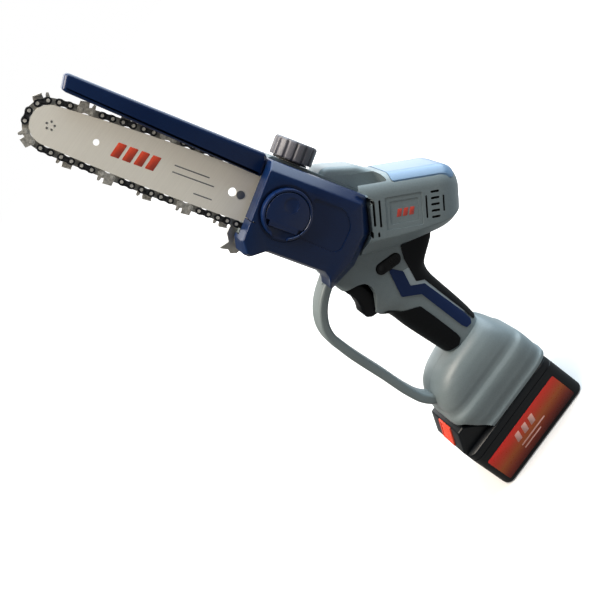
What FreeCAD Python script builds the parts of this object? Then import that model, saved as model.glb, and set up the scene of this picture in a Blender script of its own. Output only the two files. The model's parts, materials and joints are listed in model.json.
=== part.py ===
"""Cordless pruning chainsaw, standing on its battery.

The origin is the centre of the battery's flat underside, +Z runs up the grip, -X is the front
(the battery's front release button and the underside of the guide bar), and -Y is the side with
the sprocket cover.  Two tilted frames are used for the parts that are not square to the grip:

  bar frame     x towards the rear of the bar, z towards its upper edge, y as in the saw's frame
  motor frame   x along the motor towards the fan, z towards the top of the motor housing

All lengths are in millimetres.
"""
import FreeCAD, Part
import math
import os

os.makedirs("parts", exist_ok=True)
V = FreeCAD.Vector

# ---------------------------------------------------------------- driving dimensions
BAR_ANGLE = 74.0            # tilt of the bar from level, nose up
BAR_ORIGIN = (10.0, 355.0)  # where the bar frame's origin lies, x and z
MOTOR_ANGLE = 45.5          # tilt of the motor, fan end down
MOTOR_ORIGIN = (26.8, 303.6)

BAR_Y = -8.0                # mid-plane of the bar and chain
BAR_Z = 4.2                 # centre line of the bar
BAR_THICK = 3.2
CORE_THICK = 1.3            # centre lamination, which sets the chain's groove
BAR_HALF = 20.5             # half height at the widest place
NOSE_X = -171.2             # centre of the nose sprocket
BAR_TAIL = 36.0
GROOVE = 6.2                # depth of the groove under the rail

PITCH = 8.255               # distance between neighbouring chain rivets
DRIVE_LINKS = 36
STRAP_H = 5.7               # height of a tie strap
RIVET_LINE = STRAP_H / 2 + 0.2  # rivets run this far above the rail
RIVET_R = 1.3
RIVET_HOLE_R = 1.4
TOOTH_COUNT = 8             # drive sprocket
NOSE_TEETH = 7
NOSE_R = PITCH / (2 * math.sin(math.pi / (2 * NOSE_TEETH))) - RIVET_LINE
LINK_GAUGE = 1.1
STRAP_T = 1.15
TANG = 4.8                  # drive link reaches this far below the rail

COVER_FACE = -36.0          # outer face of the sprocket cover
CASE_FACE = -4.5            # face that carries the bar pad
CASE_BACK = 31.0
CASE_TOP = 42.5
KNOB_X = 20.0
KNOB_R = 21.0
STUD_R = 4.0
WING_HINGE_Z = BAR_Z - 11.7  # the knob's folding wing turns about this line
WING_T = 2.6
WING_HALF = 12.6            # half width at the hinge: the corners swing clear of the knob's rim
CAP_X = 20.9                # centre of the oil cap
CAP_Y = 6.0
CAP_R = 18.5
CAP_LOW = CASE_TOP + 2.0
CAP_HIGH = 61.0
PIN_X = 12.0                # tension pin
PIN_Z = BAR_Z - 11.5
GUARD_PIN_X = -8.0          # hinge of the upper guard
GUARD_PIN_Z = 38.5
GUARD_PIN_R = 1.6

MOTOR_Y = 5.0               # the motor's axis lies this far behind the mid-plane
CAN_R = 20.0
SHAFT_R = 4.0               # spindle
MOTOR_SHAFT_R = 2.5
PINION_START = 12.0         # from the spindle's axis to the pinion's small end
PINION_END = 24.0
GEAR_R = 23.0               # large bevel gear
HOUSING_HALF_Z = 31.8
HOUSING_HALF_Y = 33.0
HOUSING_FRONT = 36.0
HOUSING_END = 136.5
WALL = 2.5

HANDLE_HALF_Y = 17.0
SKIN_T = 1.5                # soft overmoulds on the grip
LOCK_CENTRE = (37.5, 230.5)  # lock-off button, a leaning stadium
LOCK_HALF = 10.0
LOCK_R = 5.0
LOCK_LEAN = -18.0
BATTERY_L = 116.0
BATTERY_W = 76.0
TRAY_H = 46.0
LID_TOP = 54.0
BASE_LOW = 54.3
GAP = 0.35                  # clearance between pieces that move past each other


# ---------------------------------------------------------------- placing and plain shapes
def tilt(shape, angle, origin):
    """Turn a shape about +Y and carry it to its frame's origin."""
    placed = shape.copy()
    placed.rotate(V(0, 0, 0), V(0, 1, 0), angle)
    placed.translate(V(origin[0], 0, origin[1]))
    return placed


def in_bar(shape):
    return tilt(shape, BAR_ANGLE, BAR_ORIGIN)


def in_motor(shape):
    return tilt(shape, MOTOR_ANGLE, MOTOR_ORIGIN)


def prism(points, y0, y1, r=0.0):
    """Side outline of (x, z) points, carried from y0 to y1, with its upright edges rounded by r."""
    corners = [V(x, y0, z) for x, z in points]
    face = Part.Face(Part.makePolygon(corners + corners[:1]))
    solid = face.extrude(V(0, y1 - y0, 0))
    if r > 0:
        edges = [e for e in solid.Edges if abs(e.tangentAt(e.FirstParameter).y) > 0.999]
        solid = solid.makeFillet(r, edges)
    return solid


def block(x0, x1, y0, y1, z0, z1):
    return Part.makeBox(x1 - x0, y1 - y0, z1 - z0, V(x0, y0, z0))


def rod_y(x, z, r, y0, y1):
    return Part.makeCylinder(r, y1 - y0, V(x, y0, z), V(0, 1, 0))


def rod_x(y, z, r, x0, x1):
    return Part.makeCylinder(r, x1 - x0, V(x0, y, z), V(1, 0, 0))


def rod_z(x, y, r, z0, z1):
    return Part.makeCylinder(r, z1 - z0, V(x, y, z0), V(0, 0, 1))


def ring_y(x, z, r_out, r_in, y0, y1):
    return rod_y(x, z, r_out, y0, y1).cut(rod_y(x, z, r_in, y0, y1))


def rounded_rect(x0, x1, half_y, z, r):
    """Closed wire of a rectangle with rounded corners, level at height z."""
    cx0, cx1, cy = x0 + r, x1 - r, half_y - r
    k = r * math.sqrt(0.5)

    def line(a, b):
        return Part.LineSegment(V(*a, z), V(*b, z)).toShape()

    def arc(a, b, c):
        return Part.Arc(V(*a, z), V(*b, z), V(*c, z)).toShape()

    return Part.Wire([
        line((cx0, -half_y), (cx1, -half_y)),
        arc((cx1, -half_y), (cx1 + k, -cy - k), (x1, -cy)),
        line((x1, -cy), (x1, cy)),
        arc((x1, cy), (cx1 + k, cy + k), (cx1, half_y)),
        line((cx1, half_y), (cx0, half_y)),
        arc((cx0, half_y), (cx0 - k, cy + k), (x0, cy)),
        line((x0, cy), (x0, -cy)),
        arc((x0, -cy), (cx0 - k, -cy - k), (cx0, -half_y))])


def stack(levels):
    """Solid through rounded rectangles (z, x0, x1, half_y, corner radius), bottom to top."""
    wires = [rounded_rect(x0, x1, half_y, z, r) for z, x0, x1, half_y, r in levels]
    return Part.makeLoft(wires, True, True)


def coil_spring(radius, wire, turns, length):
    """Closed coil spring as a stack of plain rings joined by a side post, standing along +Z."""
    step = (length - wire) / (turns - 1)
    levels = [wire / 2 + i * step for i in range(turns)]
    rings = [Part.makeTorus(radius, wire / 2, V(0, 0, z), V(0, 0, 1)) for z in levels]
    post = rod_z(radius, 0, wire * 0.45, wire / 2, length - wire / 2)
    return rings[0].multiFuse(rings[1:] + [post])


def group(solids):
    return Part.makeCompound(solids)


NODES = {}


def keep(name, shape):
    NODES[name] = shape


# ---------------------------------------------------------------- the chain's loop
def loop_arcs(sprocket_x):
    """Four tangent arcs that the rivets follow: nose, upper edge, drive sprocket, lower edge.

    The upper and lower edges are one large radius each, tangent inside to the nose circle and to
    the sprocket's pitch circle, and highest at BAR_HALF above the centre line.
    """
    nose_r = NOSE_R + RIVET_LINE
    pitch_r = PITCH / (2 * math.sin(math.pi / (2 * TOOTH_COUNT)))
    top = BAR_HALF + RIVET_LINE
    ratio = math.sqrt((top - nose_r) / (top - pitch_r))
    apex = (ratio * sprocket_x + NOSE_X) / (1 + ratio)
    edge_r = ((apex - NOSE_X) ** 2 / (top - nose_r) + nose_r + top) / 2
    drop = edge_r - top
    nose_lean = math.atan2(apex - NOSE_X, drop)
    tail_lean = math.atan2(sprocket_x - apex, drop)
    turn = math.pi
    return [
        (NOSE_X, BAR_Z, nose_r, 1.5 * turn - nose_lean, 0.5 * turn + nose_lean),
        (apex, BAR_Z - drop, edge_r, 0.5 * turn + nose_lean, 0.5 * turn - tail_lean),
        (sprocket_x, BAR_Z, pitch_r, 0.5 * turn - tail_lean, -0.5 * turn + tail_lean),
        (apex, BAR_Z + drop, edge_r, -0.5 * turn + tail_lean, -0.5 * turn - nose_lean)]


def loop_length(sprocket_x):
    return sum(r * abs(a1 - a0) for _, _, r, a0, a1 in loop_arcs(sprocket_x))


def taut_sprocket_x():
    """Place of the drive sprocket at which the loop holds a whole number of links."""
    near, far = 20.0, 90.0
    while far - near > 1e-6:
        middle = (near + far) / 2
        if loop_length(middle) < 2 * DRIVE_LINKS * PITCH:
            near = middle
        else:
            far = middle
    return near


SPROCKET_X = taut_sprocket_x()
ARCS = loop_arcs(SPROCKET_X)


def loop_point(s):
    """Point of the rivet line at distance s along the loop, x and z."""
    for cx, cz, r, a0, a1 in ARCS:
        length = r * abs(a1 - a0)
        if s <= length:
            a = a0 - s / r
            return cx + r * math.cos(a), cz + r * math.sin(a)
        s -= length
    cx, cz, r, a0, a1 = ARCS[-1]
    return cx + r * math.cos(a1), cz + r * math.sin(a1)


RIVETS = [loop_point(i * PITCH) for i in range(2 * DRIVE_LINKS)]


def at_link(shape, i):
    """Carry a link drawn on the x axis, its mid-point at the origin, to between rivets i and i+1."""
    x0, z0 = RIVETS[i]
    x1, z1 = RIVETS[(i + 1) % len(RIVETS)]
    placed = shape.copy()
    placed.rotate(V(0, 0, 0), V(0, 1, 0), -math.degrees(math.atan2(z1 - z0, x1 - x0)))
    placed.translate(V((x0 + x1) / 2, BAR_Y, (z0 + z1) / 2))
    return in_bar(placed)


def strap_plate(y0, y1):
    """Tie strap: two round ends with a waist between them."""
    half = PITCH / 2
    r = STRAP_H / 2
    plate = block(-half, half, y0, y1, -r, r)
    plate = plate.multiFuse([rod_y(-half, 0, r, y0, y1), rod_y(half, 0, r, y0, y1)])
    waist = [rod_y(0, side * (r + 5.4), 6.0, y0, y1) for side in (-1, 1)]
    holes = [rod_y(side * half, 0, RIVET_HOLE_R, y0, y1) for side in (-1, 1)]
    return plate.cut(waist[0]).cut(waist[1]).cut(holes[0]).cut(holes[1])


def drive_plate():
    """Drive link: a round-ended plate with a tang that runs in the bar's groove."""
    half = PITCH / 2
    y0, y1 = -LINK_GAUGE / 2, LINK_GAUGE / 2
    low = -RIVET_LINE - TANG
    outline = [(-half, 2.4), (half, 2.4), (half + 1.6, -2.6), (1.2, low), (-1.0, low), (-half - 1.6, -2.6)]
    body = prism(outline, y0, y1)
    body = body.multiFuse([rod_y(-half, 0, 2.7, y0, y1), rod_y(half, 0, 2.7, y0, y1)])
    holes = [rod_y(side * half, 0, RIVET_HOLE_R, y0, y1) for side in (-1, 1)]
    return body.cut(holes[0]).cut(holes[1])


def cutter(side):
    """Cutter link: strap with a depth gauge in front and a top plate turned over the chain."""
    half = PITCH / 2
    inner = side * (LINK_GAUGE / 2 + 0.02)
    outer = inner + side * STRAP_T
    y0, y1 = min(inner, outer), max(inner, outer)
    body = strap_plate(y0, y1)
    gauge = prism([(3.2, 2.0), (6.4, 2.0), (6.2, 5.6), (4.6, 5.9), (3.6, 4.4)], y0, y1)
    upright = prism([(-6.4, 2.0), (1.6, 2.0), (1.0, 6.2), (-6.2, 5.4)], y0, y1)
    reach = -side * 2.6
    ya, yb = min(outer, inner + reach), max(outer, inner + reach)
    top = prism([(-6.2, 5.0), (1.0, 5.8), (1.4, 6.7), (-6.2, 5.9)], ya, yb)
    return body.multiFuse([gauge, upright, top])


# ---------------------------------------------------------------- guide bar
def bar_outline(inset, thick, tail):
    """Bar lamination: nose circle and large-radius edges, shrunk by inset, cut square at the tail."""
    parts = []
    for cx, cz, r, a0, a1 in (ARCS[0], ARCS[1], ARCS[3]):
        r -= RIVET_LINE + inset
        a = [a0, (a0 + a1) / 2, a1]
        parts.append([V(cx + r * math.cos(t), 0, cz + r * math.sin(t)) for t in a])
    nose, upper, lower = [Part.Arc(*p).toShape() for p in parts]
    closing = Part.LineSegment(parts[1][2], parts[2][0]).toShape()
    face = Part.Face(Part.Wire([nose, upper, closing, lower]))
    solid = face.extrude(V(0, thick, 0))
    solid.translate(V(0, -thick / 2, 0))
    return solid.common(block(-300, tail, -20, 20, -60, 60))


def bar_holes():
    """Stud slot, tensioner hole, nose rivets and the two round holes of a lamination."""
    slot = prism([(6, BAR_Z - STUD_R - 0.3), (32, BAR_Z - STUD_R - 0.3),
                  (32, BAR_Z + STUD_R + 0.3), (6, BAR_Z + STUD_R + 0.3)], -20, 20, 4.2)
    holes = [slot, rod_y(-20.2, BAR_Z, 3.5, -20, 20), rod_y(-13.0, BAR_Z, 3.5, -20, 20)]
    holes.append(rod_y(-135, BAR_Z, 2.5, -20, 20))
    holes.append(rod_y(12, BAR_Z - 11.5, 3.0, -20, 20))
    return holes


def nose_rivet_places():
    return [(NOSE_X + 3.2 * math.cos(a), BAR_Z + 3.2 * math.sin(a))
            for a in [math.radians(90 + 72 * i) for i in range(5)]]


def make_bar():
    plate_t = (BAR_THICK - CORE_THICK) / 2
    offset = (CORE_THICK + plate_t) / 2
    rivets = [rod_y(x, z, 0.9, BAR_Y - BAR_THICK / 2 - 0.15, BAR_Y + BAR_THICK / 2 + 0.15)
              for x, z in nose_rivet_places()]
    plate = bar_outline(0, plate_t, BAR_TAIL)
    for hole in bar_holes():
        plate = plate.cut(hole)
    for name, side in (("bar_plate_left", -1), ("bar_plate_right", 1)):
        placed = plate.copy()
        placed.translate(V(0, BAR_Y + side * offset, 0))
        for rivet in rivets:
            placed = placed.cut(rivet)
        keep(name, in_bar(placed))
    core = bar_outline(GROOVE, CORE_THICK, BAR_TAIL)
    core = core.cut(block(NOSE_X - 30, NOSE_X + 13, -5, 5, -60, 60))
    for hole in bar_holes():
        core = core.cut(hole)
    core.translate(V(0, BAR_Y, 0))
    keep("bar_core", in_bar(core))
    race = rod_y(NOSE_X, BAR_Z, 4.6, BAR_Y - CORE_THICK / 2, BAR_Y + CORE_THICK / 2)
    for rivet in rivets:
        race = race.cut(rivet)
    keep("nose_bearing_race", in_bar(race))
    body_rivet = rod_y(-13.0, BAR_Z, 3.5, BAR_Y - 1.9, BAR_Y + 1.9)
    keep("bar_rivets", in_bar(group(rivets + [body_rivet])))
    wheel = toothed_disc(NOSE_X, BAR_Z, NOSE_R - TANG - 0.7, 7.6, NOSE_TEETH, 4.66,
                         BAR_Y - 0.5, BAR_Y + 0.5)
    keep("nose_sprocket", in_bar(wheel))


def toothed_disc(x, z, r_tip, r_root, teeth, r_bore, y0, y1):
    """Spur sprocket with straight-sided teeth."""
    points = []
    for i in range(teeth):
        for share, r in ((-0.32, r_root), (-0.16, r_tip), (0.16, r_tip), (0.32, r_root)):
            a = 2 * math.pi * (i + share) / teeth
            points.append((x + r * math.cos(a), z + r * math.sin(a)))
    return prism(points, y0, y1).cut(rod_y(x, z, r_bore, y0, y1))


def make_chain():
    strap_l = strap_plate(-LINK_GAUGE / 2 - 0.02 - STRAP_T, -LINK_GAUGE / 2 - 0.02)
    strap_r = strap_plate(LINK_GAUGE / 2 + 0.02, LINK_GAUGE / 2 + 0.02 + STRAP_T)
    cutter_l, cutter_r = cutter(-1), cutter(1)
    drive = drive_plate()
    straps, left, right, drives = [], [], [], []
    for n in range(DRIVE_LINKS):
        drives.append(at_link(drive, 2 * n))
        i = 2 * n + 1
        if n % 4 == 0:
            left.append(at_link(cutter_l, i))
            straps.append(at_link(strap_r, i))
        elif n % 4 == 2:
            right.append(at_link(cutter_r, i))
            straps.append(at_link(strap_l, i))
        else:
            straps += [at_link(strap_l, i), at_link(strap_r, i)]
    reach = LINK_GAUGE / 2 + STRAP_T + 0.35
    rivets = [in_bar(rod_y(x, z, RIVET_R, BAR_Y - reach, BAR_Y + reach)) for x, z in RIVETS]
    keep("chain_drive_links", group(drives))
    keep("chain_tie_straps", group(straps))
    keep("chain_cutters_left", group(left))
    keep("chain_cutters_right", group(right))
    keep("chain_rivets", group(rivets))


# ---------------------------------------------------------------- drive train
def spindle_point():
    """The spindle's axis seen in the motor frame, x and z."""
    b = math.radians(BAR_ANGLE)
    dx = BAR_ORIGIN[0] + SPROCKET_X * math.cos(b) + BAR_Z * math.sin(b) - MOTOR_ORIGIN[0]
    dz = BAR_ORIGIN[1] - SPROCKET_X * math.sin(b) + BAR_Z * math.cos(b) - MOTOR_ORIGIN[1]
    m = math.radians(MOTOR_ANGLE)
    return dx * math.cos(m) - dz * math.sin(m), dx * math.sin(m) + dz * math.cos(m)


SPINDLE_MX, AXIS_MZ = spindle_point()


def cone_y(x, z, r0, r1, y0, y1):
    return Part.makeCone(r0, r1, y1 - y0, V(x, y0, z), V(0, 1, 0))


def make_drive():
    x, z = SPROCKET_X, BAR_Z
    spindle = rod_y(x, z, SHAFT_R, -14, 26)
    keep("spindle", in_bar(spindle.cut(ring_y(x, z, 6, 3.2, -12.6, -11.6))))
    hub = toothed_disc(x, z, 12.8, 10.0, TOOTH_COUNT, SHAFT_R, BAR_Y - 2.5, BAR_Y + 2.2)
    keep("drive_sprocket", in_bar(hub))
    keep("spindle_clip", in_bar(ring_y(x, z, 6.0, 3.2, -12.6, -11.6)))
    gear = cone_y(x, z, PINION_END - 1.0, GEAR_R + 1.0, 11.4, 16.0).cut(rod_y(x, z, SHAFT_R, 10, 18))
    for i in range(30):
        groove = Part.makeBox(30, 1.6, 1.4, V(9, 0, -0.7))
        groove.rotate(V(0, 0, 0), V(0, 1, 0), 12.0 * i)
        groove.translate(V(x, 11.3, z))
        gear = gear.cut(groove)
    keep("bevel_gear", in_bar(gear))
    bearings = [ring_y(x, z, 9.5, SHAFT_R + 0.05, y0, y1) for y0, y1 in ((CASE_FACE + 0.3, 0.4), (19, 25))]
    keep("spindle_bearings", in_bar(group(bearings)))
    mx, mz = SPINDLE_MX, AXIS_MZ
    small_end = V(mx + PINION_START, MOTOR_Y, mz)
    pinion = Part.makeCone(4.6, 5.9, PINION_END - PINION_START, small_end, V(1, 0, 0))
    for i in range(10):
        groove = Part.makeBox(20, 1.4, 1.2, V(mx + PINION_START - 1, MOTOR_Y - 0.7, mz + 4.9))
        groove.rotate(V(0, MOTOR_Y, mz), V(1, 0, 0), 36.0 * i)
        pinion = pinion.cut(groove)
    bore = rod_x(MOTOR_Y, mz, MOTOR_SHAFT_R, mx + PINION_START, mx + PINION_END)
    keep("bevel_pinion", in_motor(pinion.cut(bore)))
    keep("motor_shaft", in_motor(rod_x(MOTOR_Y, mz, MOTOR_SHAFT_R, mx + PINION_START, 126)))
    bearing = rod_x(MOTOR_Y, mz, 8.0, 38, 43).cut(rod_x(MOTOR_Y, mz, MOTOR_SHAFT_R + 0.05, 38, 43))
    keep("pinion_bearing", in_motor(bearing))
    can = rod_x(MOTOR_Y, mz, CAN_R, 56, 108).cut(rod_x(MOTOR_Y, mz, CAN_R - 1.6, 58, 108))
    can = can.cut(rod_x(MOTOR_Y, mz, 3.0, 55, 60))
    magnets = rod_x(MOTOR_Y, mz, CAN_R - 1.6, 62, 100).cut(rod_x(MOTOR_Y, mz, 14.4, 61, 101))
    keep("motor_can", in_motor(group([can, magnets])))
    rotor = rod_x(MOTOR_Y, mz, 14.0, 64, 98).cut(rod_x(MOTOR_Y, mz, MOTOR_SHAFT_R, 64, 98))
    for i in range(8):
        slot = Part.makeBox(36, 2.0, 5.0, V(63, MOTOR_Y - 1.0, mz + 8.0))
        slot.rotate(V(0, MOTOR_Y, mz), V(1, 0, 0), 45.0 * i)
        rotor = rotor.cut(slot)
    keep("motor_rotor", in_motor(rotor))
    bell = rod_x(MOTOR_Y, mz, CAN_R - 1.6, 104, 108).fuse(rod_x(MOTOR_Y, mz, 8.0, 108, 112))
    keep("motor_end_bell", in_motor(bell.cut(rod_x(MOTOR_Y, mz, MOTOR_SHAFT_R + 0.1, 103, 113))))
    fan = rod_x(MOTOR_Y, mz, 6.0, 115, 125).fuse(rod_x(MOTOR_Y, mz, 18.0, 115, 116.5))
    for i in range(9):
        blade = Part.makeBox(7.0, 1.2, 12.5, V(116.5, MOTOR_Y - 0.6, mz + 5.0))
        blade.rotate(V(0, MOTOR_Y, mz), V(1, 0, 0), 40.0 * i)
        fan = fan.fuse(blade)
    keep("cooling_fan", in_motor(fan.cut(rod_x(MOTOR_Y, mz, MOTOR_SHAFT_R, 114, 126))))


# ---------------------------------------------------------------- gear head
COVER_OUTLINE = [(-2, 40), (-4, -11), (-4, -30), (1, -40), (7, -40), (18, -31.5), (78, -32.5), (85, -37),
                 (90, -45), (102, -16), (104, 12), (88, 40)]
COVER_NEAR = [(0.5, 33), (-1.5, -11), (-1.5, -29), (3, -37.5), (6.5, -37.5), (17.5, -29.5), (74, -30.5),
              (80, -34), (84, -40), (93, -15), (95, 10), (84, 33)]
CASE_OUTLINE = [(-2, -28), (-2, 39), (1.5, CASE_TOP), (91, CASE_TOP), (96, 37), (96, -22), (89, -29)]


def inset_prism(points, inset, y0, y1):
    """Prism of an outline moved inwards by inset, or outwards where inset is negative."""
    corners = [V(x, y0, z) for x, z in points]
    wire = Part.makePolygon(corners + corners[:1])
    face = Part.Face(wire).makeOffset2D(-inset, 2)
    return face.extrude(V(0, y1 - y0, 0))


def loft_y(near, y_near, far, y_far):
    """Ruled solid between two outlines with the same number of corners."""
    wires = []
    for points, y in ((near, y_near), (far, y_far)):
        corners = [V(x, y, z) for x, z in points]
        wires.append(Part.makePolygon(corners + corners[:1]))
    return Part.makeLoft(wires, True, True)


def make_cover():
    skirt = prism(COVER_OUTLINE, COVER_FACE + 9, CASE_FACE - 0.2)
    crown = loft_y(COVER_NEAR, COVER_FACE, COVER_OUTLINE, COVER_FACE + 9)
    cover = skirt.fuse(crown).removeSplitter()
    hollow = inset_prism(COVER_OUTLINE, 3.0, COVER_FACE + 11, CASE_FACE)
    cover = cover.cut(hollow)
    cover = cover.fuse(rod_y(KNOB_X, BAR_Z, 9.0, COVER_FACE + 5, BAR_Y - BAR_THICK / 2))
    cover = cover.cut(block(-10, 2, -14.5, 0, -25.5, 34))
    cover = cover.cut(rod_y(KNOB_X, BAR_Z, KNOB_R + GAP, COVER_FACE - 1, COVER_FACE + 2.0))
    cover = cover.cut(rod_y(KNOB_X, BAR_Z, STUD_R + GAP, COVER_FACE - 1, 0))
    keep("sprocket_cover", in_bar(cover))


def make_knob():
    face = COVER_FACE - 6.5
    body = rod_y(KNOB_X, BAR_Z, KNOB_R, face, COVER_FACE + 1.6)
    body = body.cut(rod_y(KNOB_X, BAR_Z, KNOB_R - 2.4, face - 1, face + 3.2))
    body = body.cut(rod_y(KNOB_X, BAR_Z, STUD_R + 0.06, face + 4.5, COVER_FACE + 2))
    keep("cover_knob", in_bar(body))
    disc = rod_y(KNOB_X, BAR_Z, KNOB_R - 2.8, face + 0.2, face + 0.2 + WING_T)
    wing = disc.cut(block(-10, 60, face - 2, face + 4, BAR_Z - 40, WING_HINGE_Z))
    for x0, x1 in ((-10, KNOB_X - WING_HALF), (KNOB_X + WING_HALF, 60)):
        wing = wing.cut(block(x0, x1, face - 2, face + 4, WING_HINGE_Z - 1, WING_HINGE_Z + 3.4))
    knuckle = rod_x(face + 0.2 + WING_T / 2, WING_HINGE_Z, WING_T / 2,
                    KNOB_X - WING_HALF, KNOB_X + WING_HALF)
    keep("knob_wing", in_bar(wing.fuse(knuckle)))
    stud = rod_y(KNOB_X, BAR_Z, STUD_R, face + 5.2, -1.6)
    stud = stud.fuse(rod_y(KNOB_X, BAR_Z, 7.5, -4.4, -1.6))
    keep("bar_stud", in_bar(stud))


def make_gear_case():
    inner_y0, inner_y1 = -1.5, CASE_BACK - 3
    case = prism(CASE_OUTLINE, CASE_FACE, CASE_BACK - 3)
    case = case.cut(inset_prism(CASE_OUTLINE, 3.0, inner_y0, inner_y1 + 1))
    pad = block(4, 38, BAR_Y + BAR_THICK / 2, CASE_FACE, BAR_Z - 9, BAR_Z + 9)
    case = case.fuse(pad)
    case = case.cut(rod_y(SPROCKET_X, BAR_Z, 9.5, CASE_FACE - 1, 0))
    case = case.cut(rod_y(KNOB_X, BAR_Z, STUD_R, -8, 1)).cut(rod_y(KNOB_X, BAR_Z, 7.5, -4.4, 1))
    mouth = in_bar(case).cut(in_motor(rod_x(MOTOR_Y, AXIS_MZ, 13.0, 30, 70)))
    mouth = mouth.cut(in_bar(rod_z(CAP_X, CAP_Y, 10.0, CASE_TOP - 6, CASE_TOP + 1)))
    mouth = mouth.cut(in_bar(rod_y(PIN_X, PIN_Z, 2.5, CASE_FACE - 1, CASE_FACE + 4)))
    keep("gear_case", mouth)
    keep("gear_case_lid", in_bar(prism(CASE_OUTLINE, CASE_BACK - 3, CASE_BACK)))
    frame = rod_y(SPROCKET_X, BAR_Z, 26.5, -1.5, 25).cut(rod_y(SPROCKET_X, BAR_Z, GEAR_R + 1.8, 0.4, 18.0))
    frame = frame.cut(rod_y(SPROCKET_X, BAR_Z, 9.5, -3, 1)).cut(rod_y(SPROCKET_X, BAR_Z, 9.5, 18, 26))
    nose = in_motor(rod_x(MOTOR_Y, AXIS_MZ, 12.8, SPINDLE_MX + 22, 56))
    frame = in_bar(frame).fuse(nose)
    frame = frame.cut(in_bar(rod_y(SPROCKET_X, BAR_Z, GEAR_R + 1.8, 0.4, 18.0)))
    frame = frame.cut(in_motor(rod_x(MOTOR_Y, AXIS_MZ, 7.0, SPINDLE_MX + 8, 57)))
    frame = frame.cut(in_motor(rod_x(MOTOR_Y, AXIS_MZ, 8.0, 38, 43)))
    frame = frame.common(in_bar(block(-40, 400, -1.5, 25, BAR_Z - 30, 38)))
    keep("gear_frame", frame)


def make_oil():
    tank = block(3, 36.6, 0.5, 26.5, 11, 38.2).cut(block(5, 34.6, 2.5, 24.5, 13, 36.2))
    neck = rod_z(CAP_X, CAP_Y, 10.0, 38.2, CASE_TOP + 0.5).fuse(rod_z(CAP_X, CAP_Y, 9.0, CASE_TOP, 52.0))
    tank = tank.fuse(neck).cut(rod_z(CAP_X, CAP_Y, 7.0, 30, 60))
    keep("oil_tank", in_bar(tank.common(block(0, 60, -20, 40, 0, 60))))
    keep("oil_cap_seal", in_bar(rod_z(CAP_X, CAP_Y, 15.0, CASE_TOP + 0.5, CAP_LOW - 0.1)
                                .cut(rod_z(CAP_X, CAP_Y, 9.0, CASE_TOP, CAP_LOW + 1))))
    cap = rod_z(CAP_X, CAP_Y, CAP_R, CAP_LOW, CAP_HIGH - 2.0)
    cap = cap.fuse(Part.makeCone(CAP_R, CAP_R - 2.0, 2.0, V(CAP_X, CAP_Y, CAP_HIGH - 2.0), V(0, 0, 1)))
    for i in range(14):
        a = 2 * math.pi * i / 14
        flute = rod_z(CAP_X + (CAP_R + 3.2) * math.cos(a), CAP_Y + (CAP_R + 3.2) * math.sin(a), 4.2,
                      CAP_LOW - 1, CAP_HIGH + 1)
        cap = cap.cut(flute)
    keep("oil_cap", in_bar(cap.cut(rod_z(CAP_X, CAP_Y, 9.06, CAP_LOW - 1, CAP_HIGH - 5))))
    pump = rod_y(SPROCKET_X - 26.0, -18.0, 5.5, 3, 21)
    keep("oil_pump", in_bar(pump))


def make_head_fittings():
    """Bumper spike with its screw, and the pin that moves the bar to tension the chain."""
    spike = prism([(-8.5, -22), (-2.3, -19), (-2.3, -28.4), (8, -29.3), (8, -37), (5, -43), (0, -45),
                   (-3, -42.5), (-11, -44), (-5, -36), (-9, -30)], 0.5, 3.5)
    keep("bumper_spike", in_bar(spike.cut(rod_y(2.5, -33.5, 1.8, -2, 8))))
    screw = rod_y(2.5, -33.5, 1.8, 0.5, 6.5).fuse(rod_y(2.5, -33.5, 3.4, -1.6, 0.5))
    keep("bumper_screw", in_bar(screw))
    keep("tension_pin", in_bar(rod_y(PIN_X, PIN_Z, 2.5, BAR_Y - 1.4, -1.0)))


def make_guard():
    """Upper chain guard: a channel over the chain that swings up on a pin at its rear end."""
    outline = [(-174, 46), (-172.5, 33), (-170, 32), (-4.8, 23.5), (-4.8, 43)]
    near, far = BAR_Y - 10.0, BAR_Y + 9.0
    skin = prism(outline, near, far)
    inside = prism([(-171, 43.2), (-170.5, 20), (2, 12), (2, 40.6)], near + 2.0, far - 2.0)
    bore = rod_y(GUARD_PIN_X, GUARD_PIN_Z, GUARD_PIN_R + 0.05, near - 1, far + 1)
    keep("upper_guard", in_bar(skin.cut(inside).cut(bore)))
    keep("guard_pin", in_bar(rod_y(GUARD_PIN_X, GUARD_PIN_Z, GUARD_PIN_R, near + 0.1, far - 0.1)))
    eye = rod_y(GUARD_PIN_X, GUARD_PIN_Z, 1.95, near + 2.4, far - 2.4)
    arm_outline = [(-9.8, 38.5), (-6.3, 38.5), (-4.4, 31), (-2, 28), (-2, 14), (-6.5, 20), (-9.8, 32)]
    arm = prism(arm_outline, -4.4, -1.4)
    bracket = eye.fuse(arm).cut(rod_y(GUARD_PIN_X, GUARD_PIN_Z, GUARD_PIN_R, near, far))
    keep("guard_bracket", in_bar(bracket))


# ---------------------------------------------------------------- motor housing, handle and base
HANDLE_OUTLINE = [(-3, 262), (-3, 245), (7.5, 241), (12.5, 237), (14.5, 230.5), (11, 220), (1, 210),
                  (-0.5, 203), (1.2, 200.6), (5.7, 195.7), (5.5, 171), (7.5, 139), (8.5, 112),
                  (49.5, 112), (52, 133), (54, 169), (55.5, 189), (63.6, 200.5), (80, 205), (100, 225),
                  (75, 285), (30, 285)]
HANDLE_HOLLOW = [(12, 246), (17, 240), (18.5, 231), (15, 218), (9, 208), (9, 198), (8.7, 171),
                 (10.5, 139), (11.5, 100), (46.5, 100), (49, 133), (51, 169), (52.5, 191), (62, 204),
                 (78, 209), (60, 262), (30, 252)]
BASE_LEVELS = [(BASE_LOW, -38, 63, 37, 12), (82, -41, 62, 37, 12), (86, -41.5, 60.5, 35, 12),
               (102, -41, 55, 33, 14), (112, -30, 51, 27, 14), (120.5, -8, 50, 19.5, 12)]
FRONT_NOTCH = [(-21, 50), (-21, 56), (-29, 68), (-36, 79.5), (-80, 79.5), (-80, 50)]


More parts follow.
